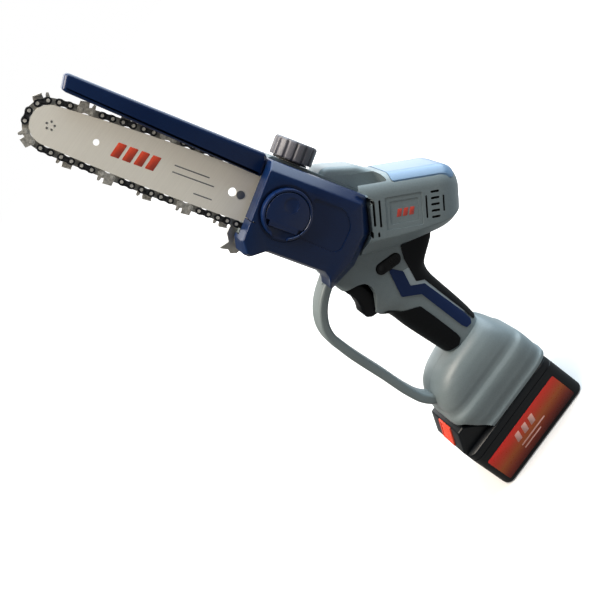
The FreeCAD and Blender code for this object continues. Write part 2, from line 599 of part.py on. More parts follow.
def shrink(levels, wall):
    """The same stack of levels with each rounded rectangle moved inwards by wall."""
    return [(z, x0 + wall, x1 - wall, half - wall, r - wall) for z, x0, x1, half, r in levels]


def barrel(front, end, half_y, half_z, r, nose_r):
    """Motor housing: rounded rectangle along the motor's axis with a rounded rear end."""
    section = block(front, end, -half_y, half_y, -half_z, half_z)
    sides = [e for e in section.Edges if abs(e.tangentAt(e.FirstParameter).x) > 0.999]
    section = section.makeFillet(r, sides)
    rear = [e for e in section.Edges if e.BoundBox.XMin > end - 1e-6]
    return section.makeFillet(nose_r, rear)


def housing_solid():
    """Whole housing before it is split: barrel, front fairing, handle and flared base."""
    outer = in_motor(barrel(HOUSING_FRONT, HOUSING_END, HOUSING_HALF_Y, HOUSING_HALF_Z, 15.0, 12.0))
    fairing = in_bar(prism([(44, CASE_TOP + 0.01), (46, 48), (74, 59.5), (98, 62.5), (112, 60), (100, 36),
                            (97, CASE_TOP + 0.01)], -4.5, 30.5))
    handle = prism(HANDLE_OUTLINE, -HANDLE_HALF_Y, HANDLE_HALF_Y)
    base = stack(BASE_LEVELS)
    outer = outer.multiFuse([fairing, handle, base])
    hollow = in_motor(barrel(HOUSING_FRONT - 6, HOUSING_END - WALL, HOUSING_HALF_Y - WALL,
                             HOUSING_HALF_Z - WALL, 12.5, 9.5))
    fairing_inner = [(49, CASE_TOP - 2), (50, 46.5), (75, 56.5), (97, 59.5), (108, 57), (98, 36)]
    fairing_hollow = in_bar(prism(fairing_inner, -2, 28))
    channel = prism(HANDLE_HOLLOW, -HANDLE_HALF_Y + WALL, HANDLE_HALF_Y - WALL)
    lower = stack(shrink(BASE_LEVELS, WALL)[:-1])
    well = block(-14, 22, -10.4, 10.4, 201.5, 244.5)
    outer = outer.cut(hollow.multiFuse([fairing_hollow, channel, lower]))
    outer = outer.cut(well)
    outer = outer.cut(in_bar(inset_prism(CASE_OUTLINE, -0.01, CASE_FACE, CASE_BACK)))
    cover_room = inset_prism(COVER_OUTLINE, -0.3, -60, CASE_FACE)
    outer = outer.cut(in_bar(cover_room))
    outer = outer.cut(in_bar(block(-40, 96, -60, CASE_FACE, -60, 39)))
    outer = outer.cut(prism(FRONT_NOTCH, -60, 60))
    return outer


def vent_cutters():
    """Slanted and level air slots through the sides of the motor housing."""
    cuts = []
    for x0, x1, z0, z1 in ((47.3, 49.3, -7, 15.5), (52.3, 54.3, -8.5, 15.5), (44.3, 46.3, -16, -11),
                           (49.3, 51.3, -16.5, -12), (94, 95.7, -7.5, 13.5), (109.6, 111.3, -3.5, 11)):
        cuts.append(block(x0, x1, -40, 40, z0, z1))
    for i in range(5):
        z = 15.0 - 5.4 * i
        cuts.append(block(99, 106.8, -40, 40, z - 0.9, z + 0.9))
    return [in_motor(c) for c in cuts]


SCREW_PLACES = [(70, 250), (100, 212), (45, 262), (30, 195), (30, 150), (30, 106), (-20, 92), (48, 92)]


def lock_shape(r, y0, y1):
    """Stadium outline of the lock-off button, leaning with the handle."""
    a = math.radians(LOCK_LEAN)
    dx, dz = LOCK_HALF * math.cos(a), LOCK_HALF * math.sin(a)
    x, z = LOCK_CENTRE
    nx, nz = r * -math.sin(a), r * math.cos(a)
    bar = prism([(x - dx + nx, z - dz + nz), (x + dx + nx, z + dz + nz), (x + dx - nx, z + dz - nz),
                 (x - dx - nx, z - dz - nz)], y0, y1)
    return bar.multiFuse([rod_y(x - dx, z - dz, r, y0, y1), rod_y(x + dx, z + dz, r, y0, y1)])


def make_housing():
    whole = housing_solid()
    whole = whole.cut(lock_shape(LOCK_R + GAP, -60, 60))
    insert_room = in_motor(block(66, 118, -27, 27, 29.0, 40))
    for vent in vent_cutters():
        whole = whole.cut(vent)
    screws = []
    for x, z in SCREW_PLACES:
        probe = whole.common(rod_y(x, z, 2.9, 0, 60))
        if probe.Volume > 1.0:
            far = probe.BoundBox.YMax
            screws.append(rod_y(x, z, 2.9, far - 2.2, far))
    for screw in screws:
        whole = whole.cut(screw)
    insert = whole.common(insert_room)
    whole = whole.cut(insert_room)
    for name, y0, y1 in (("housing_left", -80, 0), ("housing_right", 0, 80)):
        half = whole.common(block(-300, 300, y0, y1, -10, 500))
        solids = sorted(half.Solids, key=lambda s: -s.Volume)
        keep(name, solids[0])
    keep("top_insert", sorted(insert.Solids, key=lambda s: -s.Volume)[0])
    keep("housing_screws", group(screws))


def make_hand_guard():
    """Finger guard: a bow from under the gear head to the front of the base."""
    outer = [(-3, 262), (-36, 244), (-51, 206), (-50, 104), (-46, 93), (-41.6, 93)]
    inner = [(-41.6, 104), (-38, 112), (-41, 126), (-43.5, 224), (-34, 236), (-22, 242.5), (-3, 245.5)]
    bow = prism(outer + inner, -11, 11)
    bow = bow.cut(in_bar(inset_prism(COVER_OUTLINE, -0.3, -60, CASE_FACE)))
    bow = bow.cut(in_bar(inset_prism(CASE_OUTLINE, -0.3, CASE_FACE, CASE_BACK)))
    bow = bow.cut(stack(BASE_LEVELS))
    keep("hand_guard", sorted(bow.Solids, key=lambda s: -s.Volume)[0])


def make_grip_skins():
    """Soft overmoulds: a blue strap with a black heel and palm pad on each side of the grip."""
    strap = [(34, 222), (24, 197), (36.5, 184), (36, 130), (45.5, 130), (46, 185), (53, 198), (46, 222)]
    heel = [(60, 203), (54, 198.3), (46.4, 184.5), (45.9, 130), (50.5, 130), (53.6, 169), (55, 189.2),
            (63.4, 201)]
    palm = [(6.2, 192), (26, 176), (28, 128), (20, 123), (8.6, 125), (7.2, 139), (5.6, 171)]
    for name, outline in (("grip_strap", strap), ("grip_heel", heel), ("grip_palm_pad", palm)):
        right = prism(outline, HANDLE_HALF_Y, HANDLE_HALF_Y + SKIN_T)
        left = prism(outline, -HANDLE_HALF_Y - SKIN_T, -HANDLE_HALF_Y)
        keep(name, group([side.cut(lock_shape(LOCK_R + GAP, -60, 60)) for side in (right, left)]))


# ---------------------------------------------------------------- controls inside the handle
TRIGGER_OUTLINE = [(-2.6, 243.4), (9, 239), (12, 231), (11, 221), (9, 211), (9, 203.4), (1, 203.0),
                   (-7.4, 206.2), (-9.6, 209.6), (-9.2, 215.3), (-5.0, 221.5), (-2.4, 228.5)]


def make_controls():
    keep("trigger", prism(TRIGGER_OUTLINE, -10, 10))
    keep("switch_box", block(19.5, 33.5, -9, 9, 202, 224))
    spring = coil_spring(2.6, 0.9, 5, 7.0)
    spring.rotate(V(0, 0, 0), V(0, 1, 0), 90)
    spring.translate(V(12.2, 0, 213))
    keep("trigger_spring", spring)
    keep("lock_off_button", lock_shape(LOCK_R, -HANDLE_HALF_Y - 2.5, HANDLE_HALF_Y + 0.5))
    keep("control_board", block(-22, 40, -24, 24, 88, 89.6))
    blades = [block(10, 24, y - 0.4, y + 0.4, 67.5, 84) for y in (-9, 0, 9)]
    keep("terminal_block", block(6, 28, -14, 14, 84, 87.8).multiFuse(blades))


# ---------------------------------------------------------------- battery
LID_SHOULDER = [(-58, LID_TOP - 0.01), (-58, 56), (-45, 76), (-38.5, 76), (-31.5, 68), (-24, 56),
                (-24, LID_TOP - 0.01)]


def button_place(shape):
    """Carry a button drawn flat (x along the slope, z outwards) to the front shoulder."""
    placed = shape.copy()
    placed.rotate(V(0, 0, 0), V(0, 1, 0), -57.0)
    placed.translate(V(-51.5, 0, 66.0))
    return placed


def make_battery():
    half_l, half_w = BATTERY_L / 2, BATTERY_W / 2
    tray = stack([(0, -half_l + 2, half_l - 2, half_w - 2, 7), (2, -half_l, half_l, half_w, 9),
                  (TRAY_H, -half_l, half_l, half_w, 9)])
    inner = (-half_l + 3, half_l - 3, half_w - 3, 6)
    tray = tray.cut(stack([(3, *inner), (TRAY_H + 1, *inner)]))
    tray = tray.cut(block(-52.2, 48.2, -half_w - 1, -half_w + 0.5, 4.8, 37.2))
    lid = stack([(TRAY_H, -half_l, half_l, half_w, 9),
                 (LID_TOP, -half_l + 0.6, half_l - 0.6, half_w - 0.6, 8.4)])
    lid = lid.cut(stack([(TRAY_H - 1, *inner), (LID_TOP - 3, *inner)]))
    shoulder = prism(LID_SHOULDER, -30, 30)
    rails = block(-22, 34, -20, 20, LID_TOP - 0.01, 66).cut(block(-20, 32, -17, 17, LID_TOP - 4, 63))
    lid = lid.multiFuse([shoulder, rails])
    for y in (-9, 0, 9):
        lid = lid.cut(block(9, 25, y - 1.5, y + 1.5, 60, 70))
    pocket = button_place(block(-10.5, 10.5, -12.5, 12.5, -5.5, 30))
    rear_pocket = block(half_l - 7, half_l + 5, -12.5, 12.5, 36, 50.5)
    keep("battery_lid", lid.cut(pocket).cut(rear_pocket))
    keep("battery_tray", tray.cut(rear_pocket))
    keep("battery_button_front", button_place(block(-10.1, 10.1, -12.1, 12.1, -1.2, 1.6)))
    keep("battery_button_rear", block(half_l - 1.4, half_l + 1.4, -12.1, 12.1, 36.4, 50.1))
    cells = []
    for row in range(2):
        for i in range(5):
            x = -44.0 + 21.0 * i
            cells.append(rod_y(x, 13.5 + 19.5 * row, 9.1, -32.5, 32.5))
    keep("battery_cells", group(cells))
    keep("battery_label", block(-52, 48, -half_w, -half_w + 0.5, 5, 37))


make_bar()
make_chain()
make_drive()
make_cover()
make_knob()
make_gear_case()
make_oil()
make_head_fittings()
make_guard()
make_housing()
make_hand_guard()
make_grip_skins()
make_controls()
make_battery()

print(f"SPROCKET_X {SPROCKET_X:.4f}")
for name, shape in NODES.items():
    shape.exportStep(f"parts/{name}.step")
    print(f"{name:24s} solids {len(shape.Solids):3d} volume {shape.Volume:10.1f} valid {shape.isValid()}")
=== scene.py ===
import json
import math
import bmesh
import bpy
import numpy as np
from mathutils import Matrix


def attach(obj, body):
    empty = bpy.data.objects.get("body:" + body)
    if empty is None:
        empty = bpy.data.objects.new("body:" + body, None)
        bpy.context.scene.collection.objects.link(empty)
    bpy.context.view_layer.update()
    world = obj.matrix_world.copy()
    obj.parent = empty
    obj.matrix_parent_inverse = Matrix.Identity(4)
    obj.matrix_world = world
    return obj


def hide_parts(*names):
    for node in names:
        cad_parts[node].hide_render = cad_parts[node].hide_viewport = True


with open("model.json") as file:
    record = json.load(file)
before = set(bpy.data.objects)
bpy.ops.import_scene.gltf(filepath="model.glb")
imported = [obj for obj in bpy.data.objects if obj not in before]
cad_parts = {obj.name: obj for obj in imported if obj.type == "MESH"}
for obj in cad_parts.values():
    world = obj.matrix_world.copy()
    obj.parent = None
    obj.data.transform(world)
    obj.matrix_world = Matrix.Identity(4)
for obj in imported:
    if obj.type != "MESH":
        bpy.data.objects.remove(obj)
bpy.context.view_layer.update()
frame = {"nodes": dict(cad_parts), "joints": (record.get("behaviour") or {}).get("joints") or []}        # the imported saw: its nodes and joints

# ---------------------------------------------------------------- camera, floor and light
# The saw stands on its battery on a white studio floor.  The camera hangs off its left side, a little
# above the bar and turned towards the nose, and is rolled so that the bar points up and to the left.
joints = {j["name"]: j for j in frame["joints"]}
NOSE_PIVOT = np.array(joints["nose_sprocket_spin"]["pos_m"]) * 1000.0
DRIVE_PIVOT = np.array(joints["drive_spin"]["pos_m"]) * 1000.0
NOSE_TO_ORIGIN, BAR_Z = 171.2, 4.2      # from the nose pivot to the bar frame's origin, mm
BAR_Y = NOSE_PIVOT[1]


def unit(v):
    return v / np.linalg.norm(v)


bar_x = unit((DRIVE_PIVOT - NOSE_PIVOT) * [1, 0, 1])
bar_z = np.array([-bar_x[2], 0.0, bar_x[0]])
bar_origin = (NOSE_PIVOT + NOSE_TO_ORIGIN * bar_x - BAR_Z * bar_z) * [1, 0, 1]


def in_bar(points):
    """Bar frame to saw frame: x along the bar, z across it, y unchanged (mm)."""
    p = np.asarray(points, float)
    return bar_origin + p[..., :1] * bar_x + p[..., 1:2] * [0, 1, 0] + p[..., 2:] * bar_z


def turn_bar(v):
    return v[0] * bar_x + v[1] * np.array([0, 1, 0]) + v[2] * bar_z


CAMERA_YAW, CAMERA_PITCH, CAMERA_ROLL = map(math.radians, (21.98, 8.0, 21.43))
CAMERA_PLACE = (-245.97, -789.77, 55.92)    # in the bar frame
LENS = 60.0

back = np.array([-math.sin(CAMERA_YAW) * math.cos(CAMERA_PITCH),
                 -math.cos(CAMERA_YAW) * math.cos(CAMERA_PITCH), math.sin(CAMERA_PITCH)])
level = unit(np.cross(-back, [0, 0, 1]))
upright = np.cross(level, -back)
right = math.cos(CAMERA_ROLL) * level + math.sin(CAMERA_ROLL) * upright
up = -math.sin(CAMERA_ROLL) * level + math.cos(CAMERA_ROLL) * upright
right, up, back = turn_bar(right), turn_bar(up), turn_bar(back)
place = in_bar(CAMERA_PLACE) / 1000.0

camera_data = bpy.data.cameras.new("camera")
camera_data.lens = LENS
camera_data.sensor_width = 36.0
camera_data.clip_start = 0.01
camera = bpy.data.objects.new("camera", camera_data)
bpy.context.scene.collection.objects.link(camera)
camera.matrix_world = Matrix([[right[i], up[i], back[i], place[i]] for i in range(3)] + [[0, 0, 0, 1]])
bpy.context.scene.camera = camera


def srgb(hex_code):
    """Linear colour of an sRGB hex value."""
    c = np.array([int(hex_code[i:i + 2], 16) for i in (1, 3, 5)]) / 255.0
    linear = np.where(c <= 0.04045, c / 12.92, ((c + 0.055) / 1.055) ** 2.4)
    return (*map(float, linear), 1.0)


def node(tree, kind, settings=None, **links):
    """Adds one shader node: settings are its properties or socket values, links feed its sockets."""
    made = tree.nodes.new("ShaderNode" + kind)
    for key, value in (settings or {}).items():
        if key in made.inputs.keys():
            made.inputs[key].default_value = value
        elif isinstance(key, int):
            made.inputs[key].default_value = value
        else:
            setattr(made, key, value)
    for key, source in links.items():
        target = made.inputs[int(key[1:])] if key[0] == "i" and key[1:].isdigit() else \
            made.inputs[key.replace("_", " ")]
        tree.links.new(source, target)
    return made


def new_material(name):
    """Empty material with a Principled shader; returns the material, its tree and the shader."""
    material = bpy.data.materials.new(name)
    material.use_nodes = True
    tree = material.node_tree
    return material, tree, tree.nodes["Principled BSDF"]


def area_light(name, where, toward, size, power, colour="#ffffff"):
    """Soft rectangular light at a place in the saw's frame (mm), aimed at a point."""
    data = bpy.data.lights.new(name, "AREA")
    data.shape = "SQUARE"
    data.size = size
    data.energy = power
    data.color = srgb(colour)[:3]
    lamp = bpy.data.objects.new(name, data)
    z = unit(np.array(where, float) - toward)
    x = unit(np.cross([0.0, 1.0, 0.001], z))
    y = np.cross(z, x)
    w = np.array(where) / 1000.0
    lamp.matrix_world = Matrix([[x[i], y[i], z[i], w[i]] for i in range(3)] + [[0, 0, 0, 1]])
    bpy.context.scene.collection.objects.link(lamp)


MIDDLE = np.array([10.0, 0.0, 280.0])
area_light("overhead_softbox", MIDDLE + 1000 * up + 60 * back, MIDDLE, 1.5, 32.0, "#e2f3ff")
area_light("front_fill", MIDDLE - 1000 * right + 480 * back + 350 * up, MIDDLE, 0.9, 32.0, "#fff4e6")
area_light("right_edge_light", MIDDLE + 1000 * right + 150 * up + 60 * back, MIDDLE, 0.7, 5.0, "#eaf4ff")
area_light("far_side_light", MIDDLE - 1000 * back + 450 * up - 200 * right, MIDDLE, 1.2, 9.0)

world = bpy.data.worlds.new("studio")
world.use_nodes = True
background = world.node_tree.nodes["Background"]
background.inputs["Color"].default_value = srgb("#ffffff")
seen = node(world.node_tree, "LightPath")
strength = node(world.node_tree, "MapRange", {"To Min": 0.15, "To Max": 1.0},
                Value=seen.outputs["Is Camera Ray"])
world.node_tree.links.new(strength.outputs[0], background.inputs["Strength"])
bpy.context.scene.world = world
bpy.context.scene.view_settings.view_transform = "Standard"

FLOOR_HALF = 4.0
floor_mesh = bpy.data.meshes.new("floor")
floor_mesh.from_pydata([(-FLOOR_HALF, -FLOOR_HALF, 0), (FLOOR_HALF, -FLOOR_HALF, 0),
                        (FLOOR_HALF, FLOOR_HALF, 0),
                        (-FLOOR_HALF, FLOOR_HALF, 0)], [], [(0, 1, 2, 3)])
floor = bpy.data.objects.new("floor", floor_mesh)
bpy.context.scene.collection.objects.link(floor)
floor_paint, tree, shader = new_material("matt white studio board")
grain = node(tree, "TexNoise", {"Scale": 60.0, "Detail": 2.0},
             Vector=node(tree, "TexCoord").outputs["Object"])
shade = node(tree, "MapRange", {"To Min": 0.93, "To Max": 0.97}, Value=grain.outputs["Fac"])
# the board returns a small share of the light to the saw, which keeps the dark plastics dark
seen_share = node(tree, "MapRange", {"To Min": 0.2, "To Max": 0.7},
                Value=node(tree, "LightPath").outputs["Is Camera Ray"])
shade = node(tree, "Math", {"operation": "MULTIPLY"}, i0=shade.outputs[0], i1=seen_share.outputs[0])
tree.links.new(node(tree, "CombineColor", None, Red=shade.outputs[0], Green=shade.outputs[0],
                    Blue=shade.outputs[0]).outputs[0], shader.inputs["Base Color"])
shader.inputs["Roughness"].default_value = 0.9
shader.inputs["Emission Color"].default_value = srgb("#ffffff")
away = node(tree, "VectorMath", {"operation": "LENGTH"}, i0=node(tree, "TexCoord").outputs["Object"])
glow = node(tree, "MapRange", {"interpolation_type": "SMOOTHSTEP", "From Min": 0.25, "From Max": 1.0,
                               "To Min": 0.12,
                               "To Max": 0.95}, Value=away.outputs["Value"])
shown = node(tree, "Math", {"operation": "MULTIPLY"}, i0=glow.outputs[0],
             i1=node(tree, "LightPath").outputs["Is Camera Ray"])
tree.links.new(shown.outputs[0], shader.inputs["Emission Strength"])
floor_mesh.materials.append(floor_paint)

# ---------------------------------------------------------------- guide bar
# Three spot-welded steel laminations with a nose sprocket between them.  The faces are ground along
# the bar and satin polished, so light smears across the grain; the edges are darker where the chain runs.
MM = 1000.0


def object_space(tree, turn=(0, 0, 0), stretch=(1, 1, 1)):
    """Object coordinates through a Mapping node, so that a pattern can be turned or stretched."""
    coords = node(tree, "TexCoord")
    return node(tree, "Mapping", {"Rotation": turn, "Scale": stretch},
                Vector=coords.outputs["Object"]).outputs[0]


def blend_colours(tree, factor, first, second):
    """Mix node between two sRGB colours by a factor socket."""
    mix = node(tree, "Mix", {"data_type": "RGBA"})
    mix.inputs[6].default_value = srgb(first)
    mix.inputs[7].default_value = srgb(second)
    tree.links.new(factor, mix.inputs[0])
    return mix.outputs[2]


def bump(tree, shader, height, strength, distance_mm):
    """Feeds a height socket into the shader's normal."""
    made = node(tree, "Bump", {"Strength": strength, "Distance": distance_mm / MM}, Height=height)
    tree.links.new(made.outputs["Normal"], shader.inputs["Normal"])


def brushed_steel(name, dark, light, roughness, grain_mm=0.35, turn=(0, 0, 0), metal=1.0):
    """Ground steel: fine lines along the bar vary its colour, roughness and normal."""
    material, tree, shader = new_material(name)
    lines = node(tree, "TexNoise", {"Scale": MM / grain_mm / 3, "Detail": 3.0, "Roughness": 0.7},
                 Vector=object_space(tree, turn, (0.02, 1.0, 1.0)))
    clouds = node(tree, "TexNoise", {"Scale": 18.0, "Detail": 3.0}, Vector=object_space(tree))
    both = node(tree, "Math", {"operation": "MULTIPLY_ADD", 1: 0.6, 2: 0.12}, i0=lines.outputs["Fac"])
    both = node(tree, "Math", {"operation": "MULTIPLY_ADD", 1: 0.35}, i0=clouds.outputs["Fac"],
                i2=both.outputs[0])
    tree.links.new(blend_colours(tree, both.outputs[0], dark, light), shader.inputs["Base Color"])
    rough = node(tree, "MapRange", {"To Min": roughness - 0.07, "To Max": roughness + 0.08},
                 Value=lines.outputs["Fac"])
    tree.links.new(rough.outputs[0], shader.inputs["Roughness"])
    shader.inputs["Metallic"].default_value = metal
    bump(tree, shader, lines.outputs["Fac"], 0.25, 0.02)
    return material


BAR_TILT = math.atan2(-bar_x[2], bar_x[0])
bar_steel = brushed_steel("satin ground bar steel", "#e2ded3", "#fbf7ec", 0.45, turn=(0, -BAR_TILT, 0),
                          metal=0.2)
machined_steel = brushed_steel("turned steel", "#8a8a88", "#c9c8c4", 0.32)
spring_steel = brushed_steel("zinc plated spring steel", "#a3a19a", "#d6d3ca", 0.38)


def dress(names, material):
    """Gives CAD nodes a material."""
    for name in names:
        mesh = frame["nodes"][name].data
        mesh.materials.clear()
        mesh.materials.append(material)


dress(["bar_plate_left", "bar_plate_right"], bar_steel)
dress(["bar_core", "nose_bearing_race", "nose_sprocket", "bar_rivets", "tension_pin", "bar_stud", "guard_pin",
       "bumper_screw"], machined_steel)
dress(["bumper_spike"], spring_steel)

# ---------------------------------------------------------------- chain
# Low-profile saw chain: blued tie straps and bright drive links on turned rivets, with chromed cutters.
# A film of bar oil gives the blued plates a soft gloss.


def chain_plate(name, dark, light, roughness, metallic=1.0):
    """Stamped chain plate: small scuffs of light over a dark or bright finish, with an oily coat."""
    material, tree, shader = new_material(name)
    scuffs = node(tree, "TexNoise", {"Scale": 420.0, "Detail": 2.0, "Roughness": 0.5},
                  Vector=object_space(tree))
    ramp = node(tree, "MapRange", {"From Min": 0.35, "From Max": 0.65}, Value=scuffs.outputs["Fac"])
    tree.links.new(blend_colours(tree, ramp.outputs[0], dark, light), shader.inputs["Base Color"])
    rough = node(tree, "MapRange", {"To Min": roughness - 0.08, "To Max": roughness + 0.12},
                 Value=scuffs.outputs["Fac"])
    tree.links.new(rough.outputs[0], shader.inputs["Roughness"])
    shader.inputs["Metallic"].default_value = metallic
    shader.inputs["Coat Weight"].default_value = 0.25
    shader.inputs["Coat Roughness"].default_value = 0.2
    bump(tree, shader, scuffs.outputs["Fac"], 0.12, 0.03)
    return material


blued_steel = chain_plate("blued chain steel", "#1c1d20", "#4a4b4e", 0.38, 0.85)
bright_steel = chain_plate("bright chain steel", "#8a8882", "#b5b2aa", 0.36, 0.6)
chrome_plate = chain_plate("chromed cutter steel", "#a3a19a", "#cfccc4", 0.32, 0.5)
rivet_steel = chain_plate("turned rivet steel", "#c3c1ba", "#e6e3da", 0.3, 0.5)
dress(["chain_tie_straps"], blued_steel)
dress(["chain_drive_links"], bright_steel)
dress(["chain_cutters_left", "chain_cutters_right"], chrome_plate)
dress(["chain_rivets"], rivet_steel)

# ---------------------------------------------------------------- drive train and oil system
# What sits inside the head and the barrel: sprocket, spindle, bevel gears, motor, fan, pump and tank.
# Seen only through the slots and when the covers are off; machined steel, cast aluminium and plain plastic.


def moulded_plastic(name, dark, light, roughness, grain_mm=0.45, depth_mm=0.03, coat=0.0, gloss=0.5):
    """Moulded plastic: fine spark-eroded grain in the normal, faint flow clouds in colour and gloss."""
    material, tree, shader = new_material(name)
    grain = node(tree, "TexNoise", {"Scale": MM / grain_mm / 3, "Detail": 2.0, "Roughness": 0.5},
                 Vector=object_space(tree))
    clouds = node(tree, "TexNoise", {"Scale": 14.0, "Detail": 4.0, "Roughness": 0.55},
                  Vector=object_space(tree))
    mixed = node(tree, "Math", {"operation": "MULTIPLY_ADD", 1: 0.3}, i0=grain.outputs["Fac"],
                 i2=node(tree, "Math", {"operation": "MULTIPLY", 1: 0.7},
                         i0=clouds.outputs["Fac"]).outputs[0])
    tone = node(tree, "MapRange", {"From Min": 0.3, "From Max": 0.7}, Value=mixed.outputs[0])
    tree.links.new(blend_colours(tree, tone.outputs[0], dark, light), shader.inputs["Base Color"])
    rough = node(tree, "MapRange", {"From Min": 0.3, "From Max": 0.7, "To Min": roughness - 0.05,
                                    "To Max": roughness + 0.06}, Value=clouds.outputs["Fac"])
    tree.links.new(rough.outputs[0], shader.inputs["Roughness"])
    shader.inputs["IOR"].default_value = 1.53
    shader.inputs["Specular IOR Level"].default_value = gloss
    shader.inputs["Coat Weight"].default_value = coat
    shader.inputs["Coat Roughness"].default_value = 0.15
    bump(tree, shader, grain.outputs["Fac"], 0.35, depth_mm)
    return material


cast_aluminium = brushed_steel("sand cast aluminium", "#8e9092", "#c2c4c5", 0.5, 0.9)
black_nylon = moulded_plastic("glass filled black nylon", "#101114", "#1b1d21", 0.48)
circuit_board = moulded_plastic("green fibreglass board", "#0e3b22", "#1a5a33", 0.4, 0.3)
copper_rotor = brushed_steel("lacquered copper and steel", "#7a4630", "#b06a44", 0.4, 0.6)
natural_tank = moulded_plastic("natural polyethylene", "#b8bcae", "#d4d7ca", 0.45)
seal_rubber = moulded_plastic("nitrile rubber", "#0b0b0c", "#161617", 0.7)
cell_wrap = moulded_plastic("shrink wrapped cell", "#1b4f86", "#2c6cab", 0.35)
dress(["spindle", "drive_sprocket", "spindle_clip", "bevel_gear", "bevel_pinion", "spindle_bearings",
       "pinion_bearing", "motor_shaft", "motor_can", "oil_pump", "trigger_spring", "housing_screws"],
      machined_steel)
dress(["gear_frame"], cast_aluminium)
dress(["motor_rotor"], copper_rotor)
dress(["cooling_fan", "motor_end_bell", "switch_box", "terminal_block", "guard_bracket"], black_nylon)
dress(["control_board"], circuit_board)
dress(["oil_tank"], natural_tank)
dress(["oil_cap_seal"], seal_rubber)
dress(["battery_cells"], cell_wrap)

# ---------------------------------------------------------------- housing
# Two clamshell halves of glass filled nylon, screwed together along the middle: motor barrel, handle
# and flared foot in one moulding.  Satin teal-grey, with air slots, a name-plate recess and a split line.
MOTOR_AXIS = np.array(joints["motor_spin"]["axis"])
motor_x = unit(MOTOR_AXIS * [1, 0, 1])
motor_z = np.array([-motor_x[2], 0.0, motor_x[0]])
MOTOR_ORIGIN = np.array([26.8, 0.0, 303.6])


def in_motor(points):
    """Motor frame to saw frame: x along the motor towards its fan, z across it (mm)."""
    p = np.asarray(points, float)
    return MOTOR_ORIGIN + p[..., :1] * motor_x + p[..., 1:2] * [0, 1, 0] + p[..., 2:] * motor_z


def in_saw(points):
    return np.asarray(points, float)


def show(name, vertices, faces, material, smooth_below=35.0):
    """Object from vertices in mm; faces point outwards and shade smooth across edges under an angle."""
    mesh = bpy.data.meshes.new(name)
    mesh.from_pydata((vertices / MM).tolist(), [], faces)
    mesh.validate()
    tidy = bmesh.new()
    tidy.from_mesh(mesh)
    bmesh.ops.remove_doubles(tidy, verts=tidy.verts, dist=1e-6)
    bmesh.ops.recalc_face_normals(tidy, faces=tidy.faces)
    tidy.to_mesh(mesh)
    tidy.free()
    mesh.materials.append(material)
    piece = bpy.data.objects.new(name, mesh)
    bpy.context.scene.collection.objects.link(piece)
    smooth(piece, smooth_below)
    return piece


def smooth(piece, below=35.0):
    mesh = piece.data
    mesh.polygons.foreach_set("use_smooth", np.ones(len(mesh.polygons), bool))
    mesh.set_sharp_from_angle(angle=math.radians(below))


def through_rings(name, rings, material, smooth_below=35.0):
    """Closed skin through rings[i, j]: quads join neighbouring rings, and both ends are flat faces."""
    n, m = rings.shape[:2]
    i, j = np.meshgrid(np.arange(n - 1), np.arange(m), indexing="ij")
    k = (j + 1) % m
    quads = np.stack([i * m + j, i * m + k, (i + 1) * m + k, (i + 1) * m + j], -1).reshape(-1, 4)
    ends = [list(range(m)), list(range((n - 1) * m, n * m))]
    return show(name, rings.reshape(-1, 3), quads.tolist() + ends, material, smooth_below)


def superellipse(turn, half_a, half_b, power):
    """Point at an angle on |a / half_a| ** power + |b / half_b| ** power = 1."""
    c, s = np.cos(turn), np.sin(turn)
    return half_a * np.sign(c) * np.abs(c) ** (2 / power), half_b * np.sign(s) * np.abs(s) ** (2 / power)


def round_corners(corners, radius, steps=7):
    """Closed outline whose corners are arcs: each arc swings about its centre from one side to the next."""
    p = np.asarray(corners, float)
    radius = np.broadcast_to(np.asarray(radius, float), (len(p),))
    a, b = np.roll(p, 1, 0) - p, np.roll(p, -1, 0) - p
    la, lb = np.linalg.norm(a, axis=1), np.linalg.norm(b, axis=1)
    a, b = a / la[:, None], b / lb[:, None]
    half = np.arccos(np.clip((a * b).sum(1), -1, 1)) / 2
    reach = np.minimum(radius / np.tan(half), 0.49 * np.minimum(la, lb))
    r = reach * np.tan(half)
    middle = (a + b) / np.linalg.norm(a + b, axis=1)[:, None]
    centre = p + middle * (r / np.sin(half))[:, None]
    start, end = p + a * reach[:, None] - centre, p + b * reach[:, None] - centre
    swing = np.pi - 2 * half
    t = np.linspace(0, 1, steps)[None, :, None]
    s = swing[:, None, None]
    arc = (np.sin((1 - t) * s) * start[:, None] + np.sin(t * s) * end[:, None]) / np.sin(s)
    return (centre[:, None] + arc).reshape(-1, 2)


def inward(outline):
    """Unit normals of a closed outline that point to its inside."""
    ahead, behind = np.roll(outline, -1, 0) - outline, outline - np.roll(outline, 1, 0)
    ahead = ahead / np.maximum(np.linalg.norm(ahead, axis=1), 1e-9)[:, None]
    behind = behind / np.maximum(np.linalg.norm(behind, axis=1), 1e-9)[:, None]
    along = ahead + behind
    along = along / np.maximum(np.linalg.norm(along, axis=1), 1e-9)[:, None]
    normal = np.stack([-along[:, 1], along[:, 0]], 1)
    x, z = outline[:, 0], outline[:, 1]
    area = np.sum(x * np.roll(z, -1) - np.roll(x, -1) * z)
    return normal * (1.0 if area > 0 else -1.0)


def plate(name, outline, y0, y1, edge, place, material, steps=5, smooth_below=35.0):
    """Side outline (x, z) carried from y0 to y1; both rims are rounded by a quarter circle of radius edge."""
    edge = max(edge, 1e-3)
    a = np.linspace(0, np.pi / 2, steps)
    inset = edge * (1 - np.sin(a))
    level = edge * (1 - np.cos(a))
    inset = np.concatenate([inset, inset[::-1]])
    level = np.concatenate([y0 + level, (y1 - level)[::-1]])
    flat = outline[None] + inward(outline)[None] * inset[:, None, None]
    rings = np.stack([flat[..., 0], np.broadcast_to(level[:, None], flat.shape[:2]), flat[..., 1]], -1)
    return through_rings(name, place(rings), material, smooth_below)


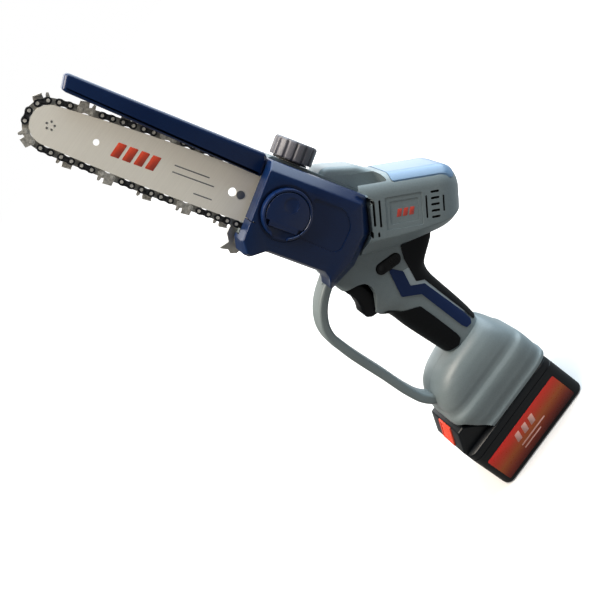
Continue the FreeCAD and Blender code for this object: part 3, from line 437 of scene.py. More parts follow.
def boolean(piece, tool, operation="DIFFERENCE", keep_tool=False, inner_material=False):
    """Cuts, joins or intersects a piece with a closed tool, which is used up unless it is kept."""
    step = piece.modifiers.new("shape", "BOOLEAN")
    step.operation = operation
    step.solver = "EXACT"
    step.object = tool
    step.material_mode = "TRANSFER" if inner_material else "INDEX"
    made = bpy.data.meshes.new_from_object(piece.evaluated_get(bpy.context.evaluated_depsgraph_get()))
    piece.modifiers.clear()
    old = piece.data
    piece.data = made
    bpy.data.meshes.remove(old)
    if not keep_tool:
        bpy.data.objects.remove(tool)
    return piece


def together(name, pieces):
    """One mesh from several separate closed pieces, so that one Boolean takes them all."""
    corners, faces, start = [], [], 0
    for piece in pieces:
        mesh = piece.data
        flat = np.empty(len(mesh.vertices) * 3)
        mesh.vertices.foreach_get("co", flat)
        corners.append(flat.reshape(-1, 3) * MM)
        faces += [[start + v for v in polygon.vertices] for polygon in mesh.polygons]
        start += len(mesh.vertices)
    material = pieces[0].data.materials[0]
    for piece in pieces:
        bpy.data.objects.remove(piece)
    return show(name, np.concatenate(corners), faces, material)


def rectangle(x0, x1, z0, z1):
    return np.array([(x0, z0), (x1, z0), (x1, z1), (x0, z1)], float)


def cut(piece, outline, y0, y1, place, edge=0.0, inner=None):
    """Cuts a side outline, carried from y0 to y1, out of a piece; its walls may have another material."""
    tool = plate("cutter", outline, y0, y1, edge, place, inner or piece.data.materials[0])
    return boolean(piece, tool, inner_material=inner is not None)


housing_grey = moulded_plastic("satin teal-grey nylon", "#6e797c", "#7e8a8d", 0.40)
# near-black paint for the walls of slots, wells and openings: painted shade where the light doesn't reach
# inside
hollow_shade_black = moulded_plastic("shadowed slot wall", "#050608", "#0b0c0e", 0.8)
TURN = np.linspace(0, 2 * np.pi, 96, endpoint=False)

BARREL_FRONT, BARREL_DOME, BARREL_END = 36.0, 106.0, 134.0
BARREL_HALF_Y, BARREL_HALF_Z, BARREL_LIFT = 33.0, 35.0, 2.0
# barrel section (y, z): flat sides, broad rounded shoulders and a chamfered belly
BARREL_SECTION = [(-33, 35), (-33, -19), (-23, -32), (23, -32), (33, -19), (33, 35)]
BARREL_ROUND = [16, 4, 8, 8, 4, 16]
BELLY_RISE = [(36, 1.0), (78, 0.86), (112, 0.62), (136, 0.5)]   # place along the motor, share of the depth


def barrel(grow, name):
    """Motor barrel: one section along the motor; its belly rises towards the dome that closes the rear."""
    a = np.linspace(0, np.pi / 2 - 0.03, 20)
    end = BARREL_END + grow
    x = np.concatenate([np.linspace(BARREL_FRONT, BARREL_DOME, 10)[:-1],
                        BARREL_DOME + (end - BARREL_DOME) * np.sin(a)])
    s = np.clip((x - BARREL_DOME) / (end - BARREL_DOME), 0, 1)
    fade = (1 - s ** 2.4) ** (1 / 2.4)
    section = round_corners(np.array(BARREL_SECTION, float), BARREL_ROUND, 12)
    section = section * (1 + grow / np.array([BARREL_HALF_Y, BARREL_HALF_Z]))
    rise = curve_through(BELLY_RISE, x)[:, None]
    z = np.where(section[:, 1] < 0, rise, 1.0) * section[:, 1]
    y, z = fade[:, None] * section[:, 0], fade[:, None] * z + BARREL_LIFT * s[:, None]
    rings = np.stack([np.broadcast_to(x[:, None], y.shape), y, z], -1)
    return through_rings(name, in_motor(rings), housing_grey)


def curve_through(knots, at):
    """Smooth values at the places asked for, through (place, value) knots, with no overshoot at the ends."""
    knots = np.asarray(knots, float)
    t, v = knots[:, 0], knots[:, 1]
    slope = np.gradient(v, t)
    k = np.clip(np.searchsorted(t, at, side="right") - 1, 0, len(t) - 2)
    h = t[k + 1] - t[k]
    u = np.clip((at - t[k]) / h, 0, 1)
    return ((1 + 2 * u) * (1 - u) ** 2 * v[k] + u * (1 - u) ** 2 * h * slope[k]
            + u ** 2 * (3 - 2 * u) * v[k + 1] + u ** 2 * (u - 1) * h * slope[k + 1])


HANDLE_FRONT = [(104, 9.5), (125, 8.2), (150, 6.6), (171, 5.6), (188, 5.6), (194, 5.0), (199, 1.5),
                (204, -1.5),
                (214, -3.0), (268, -3.2)]
HANDLE_REAR = [(104, 48.5), (120, 50.2), (133, 52.0), (155, 53.4), (172, 54.1), (186, 55.2), (194, 57.6),
               (200, 62.0), (205, 72.0), (209, 81.0), (225, 84.0), (262, 76.0), (268, 74.0)]
HANDLE_HALF = [(104, 17.0), (125, 16.2), (150, 15.6), (175, 16.0), (190, 17.0), (205, 18.6), (225, 20.2),
               (245, 21.0), (268, 21.0)]


def handle(grow, name, low=104.0, high=266.0):
    """Handle: level superellipse rings between a front and a rear line, squarer towards the top."""
    z = np.linspace(low, high, 70)
    front, rear = curve_through(HANDLE_FRONT, z) - grow, curve_through(HANDLE_REAR, z) + grow
    half = curve_through(HANDLE_HALF, z) + grow
    power = np.interp(z, [104, 190, 215, 266], [2.7, 2.9, 4.0, 5.0])
    x, y = superellipse(TURN[None], ((rear - front) / 2)[:, None], half[:, None], power[:, None])
    x = x + ((rear + front) / 2)[:, None]
    rings = np.stack([x, y, np.broadcast_to(z[:, None], x.shape)], -1)
    return through_rings(name, rings, housing_grey)


# place along the foot's side line, then height, front, rear and half width there
FOOT_LINE = [(0.0, 54.3, -39.8, 62.6, 37.3), (0.05, 57.6, -39.9, 62.8, 37.3), (0.07, 58.4, -39.6, 62.4, 36.8),
             (0.3, 70.0, -40.6, 62.6, 36.8), (0.48, 82.5, -41.0, 62.6, 36.4), (0.51, 84.2, -40.4, 62.4, 35.8),
             (0.56, 88.0, -38.2, 61.0, 33.0), (0.58, 89.4, -37.8, 60.6, 32.6),
             (0.70, 97.0, -36.4, 58.8, 32.2),
             (0.80, 105.0, -32.4, 56.8, 31.0), (0.88, 112.0, -26.0, 54.6, 28.4),
             (0.94, 117.2, -17.5, 52.4, 24.4),
             (0.98, 120.2, -8.0, 50.4, 20.0), (1.0, 121.2, 0.0, 49.2, 16.8)]


def foot(grow, name, top=1.0):
    """Flared foot over the battery: rounded-rectangle rings that close in to the handle at the top."""
    t = np.linspace(0, top, 101)
    line = np.array(FOOT_LINE)
    z, front, rear, half = [curve_through(line[:, [0, c]], t) for c in (1, 2, 3, 4)]
    front, rear, half = front - grow, rear + grow, half + grow
    power = np.interp(t, [0, 0.5, 0.85, 1.0], [6.0, 5.5, 3.6, 2.8])
    x, y = superellipse(TURN[None], ((rear - front) / 2)[:, None], half[:, None], power[:, None])
    x = x + ((rear + front) / 2)[:, None]
    rings = np.stack([x, y, np.broadcast_to(z[:, None], x.shape)], -1)
    return through_rings(name, rings, housing_grey)


COVER_OUTLINE = [(-4, 40), (-4.5, -11), (-4.5, -29), (1, -39), (7, -39.5), (18, -31), (73, -32), (80, -36.5),
                 (84.5, -45), (96.5, -17.5), (98.5, 12.5), (83, 40)]
CASE_OUTLINE = [(-2, -28), (-2, 39), (1.5, 42.5), (91, 42.5), (96, 37), (96, -22), (89, -29)]
CASE_FACE, CASE_BACK = -4.5, 31.0


def grown(outline, by):
    outline = np.asarray(outline, float)
    return outline - inward(outline) * by


shell = barrel(0.0, "housing_shell")
boolean(shell, handle(0.0, "handle_body"), "UNION")
boolean(shell, foot(0.0, "foot_body"), "UNION")
FAIRING_ROUND = [5, 9, 16, 16, 5, 5, 5]
FAIRING = [(46, 36), (46.5, 48), (74, 59.8), (99, 62.6), (113, 60), (104, 30), (98, 36)]
boolean(shell, plate("fairing", round_corners(FAIRING, FAIRING_ROUND), -4.4, 30.5, 4.5, in_bar,
                     housing_grey), "UNION")
boolean(shell, foot(-2.4, "foot_hollow", 0.72))
cut(shell, grown(CASE_OUTLINE, 0.05), CASE_FACE - 0.05, CASE_BACK + 0.3, in_bar)
cut(shell, grown(COVER_OUTLINE, 0.5), -60, CASE_FACE, in_bar)
cut(shell, rectangle(-40, 88, -45, 39), -60, CASE_FACE, in_bar)
POCKET = [(54, 20), (52, 62), (88, 62), (108, 50.5), (86, 40.2)]
cut(shell, round_corners(POCKET, [2.5, 2.5, 6, 4, 3]), -29.0, CASE_FACE, in_bar, 2.0)
FRONT_NOTCH = [(-21, 40), (-21, 56), (-29, 68), (-36, 79.5), (-80, 79.5), (-80, 40)]
cut(shell, round_corners(FRONT_NOTCH, [1, 3, 1, 5, 1, 1]), -60, 60, in_saw)
WELL = [(-14, 248), (-3, 244.6), (7.5, 241), (12.5, 237), (14.5, 230.5), (11, 220), (1, 209), (-14, 201)]
cut(shell, round_corners(WELL, [1, 1, 8, 6, 8, 10, 3, 1]), -40, 40, in_saw)
# the trigger well's walls are painted near black: painted shade inside the well
cut(shell, rectangle(-14, 22, 201.5, 244.5), -10.4, 10.4, in_saw, inner=hollow_shade_black)

SIDES = ((-40, -28.5), (28.5, 40))
SLOTS = [(46.0, 48.0, -6, 15.5), (51.4, 53.2, -7.5, 15.5), (43.3, 45.2, -15.5, -10.3),
         (49.0, 50.8, -15.5, -11.4),
         (93.4, 95.0, -6.5, 13), (109.2, 110.8, -3, 11)]
SLOTS += [(98.4, 106.2, 15.2 - 5.4 * i - 0.95, 15.2 - 5.4 * i + 0.95) for i in range(5)]
# the air slots' walls are painted near black: painted shade inside the slots
slots = [plate("slot", round_corners(rectangle(*slot), 0.9, 5), *side, 0, in_motor, hollow_shade_black)
         for slot in SLOTS for side in SIDES]
boolean(shell, together("slots", slots), inner_material=True)

NAME_PANEL, NAME_FIELD = (57.2, 90.4, -11.0, 16.8), (61.2, 87.2, -7.0, 12.6)
for frame_of, depth in ((NAME_PANEL, 0.55), (NAME_FIELD, 1.0)):
    outline = round_corners(rectangle(*frame_of), 1.2, 5)
    panels = [plate("panel", outline, *side, 0, in_motor, housing_grey)
              for side in ((-40, -BARREL_HALF_Y + depth), (BARREL_HALF_Y - depth, 40))]
    boolean(shell, together("panels", panels))

STRAP = [(33.2, 224), (22.8, 199.4), (35.4, 184.8), (35.2, 133), (36.4, 127.4), (42, 125.6), (45.0, 128.5),
         (46.0, 137.8), (44.6, 188.2), (35.2, 199.2), (41.2, 213.9), (36, 226)]
HEEL = [(46.6, 211.2), (50, 220.5), (57, 231), (78, 224), (92, 214), (90, 190), (62, 150), (60, 123.5),
        (46.5, 124.6),
        (47.2, 138), (47.2, 190.4), (41.4, 197.2)]
PALM = [(-4, 201.5), (6, 200.2), (12.5, 189.2), (26.4, 178.2), (26.8, 160), (26.6, 132), (25.5, 126),
        (20, 122.6),
        (8, 124.5), (-4, 126)]
LOCK_AT, LOCK_LEAN, LOCK_LONG, LOCK_HIGH = (38.4, 229.8), math.radians(-20.0), 12.4, 5.4


def lock_outline(grow):
    """Stadium of the lock-off button, leaning with the top of the grip."""
    c, s = math.cos(LOCK_LEAN), math.sin(LOCK_LEAN)
    corners = rectangle(-LOCK_LONG - grow, LOCK_LONG + grow, -LOCK_HIGH - grow, LOCK_HIGH + grow)
    return round_corners(corners, LOCK_HIGH + grow - 0.02, 12) @ np.array([[c, s], [-s, c]]) + LOCK_AT


# the walls of the lock-off button's hole are painted near black: painted shade
cut(shell, lock_outline(0.3), -40, 40, in_saw, inner=hollow_shade_black)
SCREWS = [(70, 250), (100, 212), (45, 262), (30, 195), (30, 150), (30, 106), (-20, 92), (48, 92)]
# the screw wells' walls are painted near black: painted shade inside the wells
wells = [plate("well", np.stack(superellipse(TURN[::3], 3.4, 3.4, 2), 1) + place, 14.0, 60, 0, in_saw,
               hollow_shade_black)
         for place in SCREWS]
boolean(shell, together("screw_wells", wells), inner_material=True)

INSERT = [(65.5, 44), (65.5, 30.5), (71.5, 24.0), (123, 24.0), (129, 44)]
pale_blue = moulded_plastic("gloss pale blue polycarbonate", "#56728e", "#617e9a", 0.34, coat=0.15)


def insert_block(name, grow):
    outline = round_corners(grown(INSERT, grow), [1, 3, 5, 4, 1])
    return plate(name, outline, -30.0 - grow, 30.0 + grow, 0, in_motor, pale_blue)


groove = barrel(1.5, "insert_groove")
boolean(groove, barrel(-1.4, "groove_core"))
boolean(groove, insert_block("groove_block", 0.25), "INTERSECT")
boolean(shell, groove)

# A loose bow of the same plastic guards the fingers, from under the gear head to the foot: a rounded
# rectangle carried along a smooth path, keeping its narrow side outwards.
BOW_PATH = [(6, 262), (-4, 258.5), (-14, 255), (-23.5, 250), (-31.5, 243.5), (-38.2, 235), (-42.0, 225),
            (-43.0, 212), (-42.0, 160), (-41.0, 128), (-39.4, 116.5), (-35.6, 107), (-29, 100), (-22, 97)]
BOW_THICK, BOW_WIDE = 8.6, 21.5


def smooth_path(points, count):
    """Centripetal-like cubic through given points: each coordinate follows the distance along them."""
    p = np.asarray(points, float)
    far = np.concatenate([[0], np.cumsum(np.linalg.norm(np.diff(p, axis=0), axis=1))])
    at = np.linspace(0, far[-1], count)
    return np.stack([curve_through(np.stack([far, p[:, c]], 1), at) for c in range(p.shape[1])], 1)


def bow():
    path = smooth_path(BOW_PATH, 90)
    along = np.gradient(path, axis=0)
    along /= np.linalg.norm(along, axis=1)[:, None]
    out = np.stack([along[:, 1], -along[:, 0]], 1)
    section = round_corners(rectangle(-BOW_THICK / 2, BOW_THICK / 2, -BOW_WIDE / 2, BOW_WIDE / 2), 2.6, 8)
    flat = path[:, None] + out[:, None] * section[None, :, :1]
    rings = np.stack([flat[..., 0], np.broadcast_to(section[None, :, 1], flat.shape[:2]), flat[..., 1]], -1)
    return through_rings("hand_guard_bow", rings, housing_grey, 40)


hand_guard = bow()
cut(hand_guard, grown(COVER_OUTLINE, 0.5), -60, CASE_FACE + 0.01, in_bar)
cut(hand_guard, grown(CASE_OUTLINE, 0.1), CASE_FACE, CASE_BACK + 0.3, in_bar)
smooth(hand_guard, 40)
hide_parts("hand_guard")
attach(hand_guard, "saw")

for side, name, y0, y1 in ((-1, "housing_left_shell", -60, -0.1), (1, "housing_right_shell", 0.1, 60)):
    half = shell.copy()
    half.data = shell.data.copy()
    half.name = name
    bpy.context.scene.collection.objects.link(half)
    boolean(half, plate("half_space", np.array([(-200, -20), (-200, 600), (300, 600), (300, -20)], float), y0,
                        y1, 0,
                        in_saw, housing_grey), "INTERSECT")
    smooth(half, 28)
    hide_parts("housing_left" if side < 0 else "housing_right")
    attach(half, "saw")
bpy.data.objects.remove(shell)

# ---------------------------------------------------------------- top insert and name plate
# A gloss pale blue cap is clipped into the top of the motor housing.  The recess on each side carries a
# small red mark: three leaning bars, printed as thin plates.


def finish(piece, slot, body, *nodes, below=35.0):
    """Shades a piece, hangs it on the body that carries it and hides the nodes it stands for; slot, the
    finish's name, is not used.
    """
    smooth(piece, below)
    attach(piece, body)
    if nodes:
        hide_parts(*nodes)
    return piece


def paint(piece, material):
    piece.data.materials.clear()
    piece.data.materials.append(material)
    piece.data.polygons.foreach_set("material_index", np.zeros(len(piece.data.polygons), np.int32))


insert = barrel(0.5, "top_insert_skin")
boolean(insert, barrel(-1.3, "insert_core"))
boolean(insert, insert_block("insert_bounds", 0), "INTERSECT")
cut(insert, round_corners(FAIRING, FAIRING_ROUND), -4.6, 30.7, in_bar, 4.5)
paint(insert, pale_blue)
finish(insert, "pale_blue_plastic", "saw", "top_insert")

red_print = moulded_plastic("red pad print", "#b93a2e", "#c9483a", 0.45)
MARK_Y = BARREL_HALF_Y - 1.0
for side, name in ((-1, "name_mark_left"), (1, "name_mark_right")):
    bars = []
    for i in range(3):
        x = 67.0 + 5.6 * i
        corners = [(x, -1.2), (x + 4.0, -1.2), (x + 5.4, 5.4), (x + 1.4, 5.4)]
        bars.append(plate("bar", round_corners(corners, 0.4, 4), side * MARK_Y - 0.12, side * MARK_Y + 0.12,
                          0,
                          in_motor, red_print))
    finish(together(name, bars), "release_orange", "saw")

# ---------------------------------------------------------------- gear case
# Cast case behind the sprocket cover, closed by a lid on the far side.  Grey painted aluminium; the lid
# has a rounded rim, a raised bearing boss with stiffening ribs, and six pan-head screws.
case_paint = moulded_plastic("powder coated aluminium", "#5d676a", "#6c777a", 0.5, 0.6, 0.05)
case_round = round_corners(CASE_OUTLINE, [4, 3, 3, 6, 5, 5, 8])
case = plate("gear_case_body", case_round, CASE_FACE, CASE_BACK - 3.1, 0.6, in_bar, case_paint)
PAD = rectangle(4, 38, BAR_Z - 9, BAR_Z + 9)
boolean(case, plate("bar_pad", round_corners(PAD, 2.0), -6.4, -3.0, 0.3, in_bar, case_paint), "UNION")
finish(case, "aluminium_casting", "saw", "gear_case")

sprocket_x = float((DRIVE_PIVOT - bar_origin) @ bar_x)


def disc(name, x, z, radius, y0, y1, edge, material, place=in_bar):
    """Round plate with rounded rims, its axis along y."""
    outline = np.stack(superellipse(TURN[::2], radius, radius, 2), 1) + [x, z]
    return plate(name, outline, y0, y1, edge, place, material)


lid = plate("gear_case_cover", case_round, CASE_BACK - 3.0, CASE_BACK - 0.9, 0.8, in_bar, case_paint)
raised = [plate("raised_field", round_corners(grown(CASE_OUTLINE, -8.0), 3.0), CASE_BACK - 2.0,
                CASE_BACK - 0.1, 0.7,
                in_bar, case_paint)]
boolean(lid, together("lid_field", raised), "UNION")
boolean(lid, disc("boss_groove", sprocket_x, BAR_Z, 17.0, CASE_BACK - 0.9, CASE_BACK + 3, 0, case_paint))
boolean(lid, disc("boss", sprocket_x, BAR_Z, 12.0, CASE_BACK - 2.0, CASE_BACK - 0.1, 0.6, case_paint),
        "UNION")
ribs = [plate("rib", round_corners(rectangle(12 + 7 * i, 14.4 + 7 * i, -16, 30), 1.0, 5), CASE_BACK - 1.2,
              CASE_BACK + 0.5, 0.5, in_bar, case_paint) for i in range(4)]
boolean(lid, together("lid_ribs", ribs), "UNION")
finish(lid, "aluminium_casting", "saw", "gear_case_lid")

LID_SCREWS = [(5.5, 34.5), (3.5, -22.5), (48, 38), (87, 37), (91, -17), (46, -24)]
heads = [disc("head", x, z, 2.7, CASE_BACK - 1.6, CASE_BACK + 0.5, 0.6, machined_steel) for x,
         z in LID_SCREWS]
screw_heads = together("lid_screw_heads", heads)
sockets = [disc("socket", x, z, 1.2, CASE_BACK - 0.6, CASE_BACK + 3, 0, machined_steel) for x,
           z in LID_SCREWS]
boolean(screw_heads, together("sockets", sockets))
finish(screw_heads, "machined_steel", "saw")

# ---------------------------------------------------------------- sprocket cover
# Navy glass filled nylon shell over the sprocket and the bar's tail: a flat face, wide bevels round it, a
# shallow pressed field behind the knob, and an open front where the bar and chain come out.
navy = moulded_plastic("navy glass filled nylon", "#02183e", "#05244c", 0.33, gloss=0.35, coat=0.1)
COVER_NEAR = [(-5.2, 32.5), (-5.4, -11), (-5.4, -27.5), (1.8, -36.5), (6.5, -36.8), (17.5, -28.5),
              (70, -29.5),
              (75, -32.5), (79, -38), (88, -16), (89.5, 9.5), (78.5, 32.5)]
COVER_ROUND = [1.8, 3, 3, 3, 2.5, 6, 6, 4, 2, 4, 4, 2]
COVER_FACE = -36.0
# distance in front of the case face, share of the way from the full outline to the face's, extra inset
COVER_PROFILE = [(-4.7, 0, 0.5), (-5.3, 0, 0.0), (-25.5, 0, 0.0), (-26.6, 0.04, 0), (-27.6, 0.12, 0),
                 (-34.4, 0.86, 0), (-35.3, 0.95, 0.15), (-35.8, 1.0, 0.5), (-36.0, 1.0, 1.1)]


def cover_skin(name, grow, deeper, material):
    """Rings from the case to the face: each is a blend of the full outline and the smaller face outline."""
    full = round_corners(grown(COVER_OUTLINE, grow), COVER_ROUND, 7)
    face = round_corners(grown(COVER_NEAR, grow), COVER_ROUND, 7)
    y, share, inset = np.array(COVER_PROFILE).T
    flat = full[None] + (face - full)[None] * share[:, None, None]
    flat = flat + inward(face)[None] * inset[:, None, None]
    rings = np.stack([flat[..., 0], np.broadcast_to((y + deeper)[:, None], flat.shape[:2]), flat[..., 1]], -1)
    return through_rings(name, in_bar(rings), material)


KNOB_X, KNOB_R = 20.0, 21.0
cover = cover_skin("sprocket_cover_shell", 0.0, 0.0, navy)
FIELD = [(38, -10.5), (70, -12.5), (76, -9), (77.5, 12), (68, 24), (38, 24)]
field = plate("field", round_corners(FIELD, [2, 9, 10, 14, 14, 2]), -50, COVER_FACE + 0.9, 0, in_bar, navy)
boolean(cover, field)
boolean(cover, disc("knob_seat_ring", KNOB_X, BAR_Z, KNOB_R + 2.4, COVER_FACE - 5, COVER_FACE + 1.0, 0, navy))
boolean(cover, disc("knob_seat", KNOB_X, BAR_Z, KNOB_R + 0.4, COVER_FACE - 5, COVER_FACE + 2.2, 0, navy))
HOLLOW = [(-1.5, 35.5), (-1.5, -26), (12, -27), (75, -28), (83, -37), (92.5, -16), (94.5, 11), (80.5, 35.5)]
# the cover's inside and the openings where the bar comes out are painted near black: painted shade
cut(cover, round_corners(HOLLOW, 2.0), -30.5, -2, in_bar, inner=hollow_shade_black)
cut(cover, rectangle(-12, 4, -26, 34), -15.5, 0, in_bar, inner=hollow_shade_black)
cut(cover, rectangle(-12, -1.0, -11.4, -10.6), -60, 2, in_bar, inner=hollow_shade_black)
finish(cover, "navy_plastic", "saw", "sprocket_cover", below=30)

# ---------------------------------------------------------------- clamping knob and its folding wing
# Round nylon knob that clamps the cover: a raised rim round a dished seat, with a half-round wing that
# folds flat into it and is swung out to turn it.
knob_navy = moulded_plastic("navy knob nylon", "#04193f", "#08234d", 0.3, gloss=0.45, coat=0.15)


def turned(name, profile, place, material, count=96, wave=None, below=35.0):
    """Profile of (radius, level) pairs, from the axis to the axis, swept round it; wave alters the radius."""
    profile = np.asarray(profile, float)
    turn = np.linspace(0, 2 * np.pi, count, endpoint=False)
    radius = np.broadcast_to(profile[None, :, 0], (count, len(profile)))
    if wave is not None:
        radius = wave(turn[:, None], radius, profile[None, :, 1])
    level = np.broadcast_to(profile[None, :, 1], radius.shape)
    rings = place(radius * np.cos(turn)[:, None], radius * np.sin(turn)[:, None], level)
    n, m = rings.shape[:2]
    i, j = np.meshgrid(np.arange(n), np.arange(m - 1), indexing="ij")
    k = (i + 1) % n
    quads = np.stack([i * m + j, k * m + j, k * m + j + 1, i * m + j + 1], -1).reshape(-1, 4)
    return show(name, rings.reshape(-1, 3), quads.tolist(), material, below)


def on_knob(a, b, level):
    return in_bar(np.stack([KNOB_X + a, level, BAR_Z + b], -1))


RIM, SEAT = COVER_FACE - 6.4, COVER_FACE - 3.2
KNOB_PROFILE = [(0, COVER_FACE + 1.6), (KNOB_R - 0.4, COVER_FACE + 1.6), (KNOB_R, COVER_FACE + 1.2),
                (KNOB_R, RIM + 1.1),
                (KNOB_R - 0.25, RIM + 0.45), (KNOB_R - 0.8, RIM + 0.1), (KNOB_R - 1.3, RIM),
                (KNOB_R - 1.9, RIM + 0.1),
                (KNOB_R - 2.3, RIM + 0.5), (KNOB_R - 2.45, RIM + 1.1), (KNOB_R - 2.5, SEAT - 0.2),
                (KNOB_R - 2.8, SEAT), (0, SEAT)]
knob = turned("clamping_knob", KNOB_PROFILE, on_knob, knob_navy)
notches = [plate("notch", rectangle(-0.35, 0.35, KNOB_R - 4, KNOB_R + 3)
                 @ np.array([[math.cos(a), math.sin(a)], [-math.sin(a), math.cos(a)]]) + [KNOB_X, BAR_Z],
                 RIM - 2, RIM + 1.6, 0, in_bar, knob_navy) for a in np.radians([52, 232])]
boolean(knob, together("notches", notches))
cut(knob, rectangle(KNOB_X - 7, KNOB_X + 7, BAR_Z - 30, BAR_Z - 12.5), RIM - 2, SEAT - 0.02, in_bar)
finish(knob, "navy_plastic", "knob", "cover_knob")

WING_LINE = BAR_Z - 11.7
arc = np.linspace(math.radians(-38.5), math.radians(218.5), 60)
wing_edge = np.stack([KNOB_X + (KNOB_R - 2.9) * np.cos(arc), BAR_Z + (KNOB_R - 2.9) * np.sin(arc)], 1)
wing = plate("folding_wing", wing_edge, COVER_FACE - 6.2, COVER_FACE - 3.7, 0.7, in_bar, knob_navy)
hinge = turned("wing_hinge", [(0, -12.6), (1.25, -12.6), (1.25, 12.6), (0, 12.6)],
               lambda a, b, level: in_bar(np.stack([KNOB_X + level, COVER_FACE - 4.95 + a, WING_LINE + b],
                                                   -1)),
               knob_navy, 32)
corners = [plate("corner", rectangle(x0, x1, WING_LINE - 3, WING_LINE + 3.4), COVER_FACE - 9,
                 COVER_FACE - 1, 0, in_bar, knob_navy)
           for x0, x1 in ((KNOB_X - 22, KNOB_X - 12.6), (KNOB_X + 12.6, KNOB_X + 22))]
boolean(wing, together("wing_corners", corners))
boolean(wing, hinge, "UNION")
boolean(wing, disc("thumb_dish", KNOB_X, BAR_Z + 8, 6.5, COVER_FACE - 9, COVER_FACE - 5.7, 0, knob_navy))
finish(wing, "navy_plastic", "wing", "knob_wing")
dress(["cover_knob", "knob_wing"], knob_navy)

# ---------------------------------------------------------------- oil cap
# Screw cap of the chain oil tank: moulded grey nylon with broad flats and narrow grooves for the fingers.
cap_grey = moulded_plastic("warm grey cap nylon", "#4f4f54", "#626066", 0.42)
CAP_X, CAP_Y = 20.9, 6.0
CAP_LOW, CAP_HIGH, CAP_R = 44.7, 60.9, 18.5
CAP_FLUTES, CAP_FLUTE_DEPTH = 14, 1.5


def fluted(turn, radius, level):
    """Finger grooves: the radius dips by a narrow cosine bump, fading out on the cap's top."""
    dip = np.clip(np.cos(CAP_FLUTES * turn), 0, 1) ** 3
    fade = np.clip((CAP_HIGH - 0.4 - level) / 2.5, 0, 1) * (radius > CAP_R - 2.5)
    return radius - CAP_FLUTE_DEPTH * dip * fade


cap_levels = np.linspace(CAP_LOW + 0.6, CAP_HIGH - 2.6, 5)
CAP_PROFILE = ([(0, CAP_LOW + 7), (9.2, CAP_LOW + 7), (9.2, CAP_LOW), (CAP_R - 0.5, CAP_LOW)]
               + [(CAP_R, z) for z in cap_levels]
               + [(CAP_R - 0.15, CAP_HIGH - 1.7), (CAP_R - 0.6, CAP_HIGH - 0.8),
                  (CAP_R - 1.3, CAP_HIGH - 0.2),
                  (CAP_R - 2.2, CAP_HIGH), (CAP_R - 5.0, CAP_HIGH), (CAP_R - 5.6, CAP_HIGH - 0.6),
                  (0, CAP_HIGH - 0.6)])
cap = turned("oil_filler_cap", CAP_PROFILE,
             lambda a, b, level: in_bar(np.stack([CAP_X + a, CAP_Y + b, level], -1)), cap_grey, 168, fluted)
finish(cap, "cap_plastic", "oil_cap", "oil_cap")

# ---------------------------------------------------------------- upper guard
# Navy channel over the top run of the chain, hinged at the gear head so that it swings up off the wood.
# Its top edge is rolled over, its nose is cut on a slant, and it is open underneath.
GUARD_OUTLINE = [(-174, 45.8), (-172.3, 33), (-169.5, 31.6), (-4.8, 23.6), (-4.8, 42.8)]
GUARD_Y = (-18.0, 1.0)
guard = plate("chain_guard", round_corners(GUARD_OUTLINE, [3, 1.5, 1, 0.8, 5.2], 8), *GUARD_Y, 2.9, in_bar,
              navy)
GUARD_INNER = [(-171.2, 43.0), (-170.2, 20), (4, 12), (4, 40.3)]
cut(guard, round_corners(GUARD_INNER, [2, 1, 1, 2]), GUARD_Y[0] + 2, GUARD_Y[1] - 2, in_bar)
finish(guard, "navy_plastic", "guard", "upper_guard")

# ---------------------------------------------------------------- grip overmoulds
# Soft thermoplastic rubber moulded over both sides of the handle: a cranked blue strap, a black heel
# behind it with a thin inlay line between, and a black palm pad in front.  They stand 0.8 mm proud.
blue_rubber = moulded_plastic("blue thermoplastic rubber", "#071d47", "#0c2753", 0.5, 0.35, 0.06, gloss=0.2)
black_rubber = moulded_plastic("black thermoplastic rubber", "#020406", "#06090d", 0.52, 0.35, 0.06,
                               gloss=0.15)
inlay_grey = moulded_plastic("light grey inlay", "#9aa7ad", "#aab6bb", 0.4)
button_black = moulded_plastic("black button nylon", "#030507", "#080b0f", 0.42, gloss=0.2)


def overmould(name, outline, radius, proud, material):
    """Part of the handle's skin, grown by a small height, inside a side outline."""
    skin = handle(proud, name)
    boolean(skin, handle(-1.2, "skin_core"))
    boolean(skin, plate("skin_bounds", round_corners(outline, radius, 6), -60, 60, 0, in_saw, material),
            "INTERSECT")
    boolean(skin, plate("skin_lock", lock_outline(0.3), -60, 60, 0, in_saw, material))
    paint(skin, material)
    return skin


strap = overmould("blue_grip_strap", STRAP, 1.6, 0.9, blue_rubber)
heel = overmould("black_grip_heel", HEEL, 1.6, 0.8, black_rubber)
palm = overmould("black_palm_pad", PALM, 3.0, 0.8, black_rubber)
INLAY = [(40.6, 214.6), (34.6, 199.3), (44.0, 188.4), (45.4, 137.0), (48.0, 137.0), (48.0, 190.6),
         (42.0, 197.4), (47.2, 211.6)]
inlay = overmould("grip_inlay_line", INLAY, 2.0, 0.35, inlay_grey)
finish(strap, "blue_rubber", "saw", "grip_strap", below=30)
finish(heel, "soft_rubber", "saw", "grip_heel", below=30)
finish(palm, "soft_rubber", "saw", "grip_palm_pad", below=30)
finish(inlay, "soft_rubber", "saw", below=30)

# ---------------------------------------------------------------- trigger and lock-off button
# Curved black nylon trigger in its well, and the cross-bolt lock-off button above it: a stadium-shaped
# bar with a round thumb mark at its front end.
TRIGGER = [(-3.0, 243.2), (9, 238.4), (12, 231), (11, 221), (9, 211), (9, 203.2), (1.4, 202.8), (-6.2, 205.6),
           (-9.3, 209.4), (-9.2, 214.8), (-5.2, 220.5), (-2.4, 228.5)]
trigger = plate("trigger_lever", round_corners(TRIGGER, [3, 3, 6, 6, 6, 2, 4, 3, 3, 4, 9, 12], 8), -9.9, 9.9,
                3.0,
                in_saw, button_black)
finish(trigger, "dark_plastic", "trigger", "trigger")

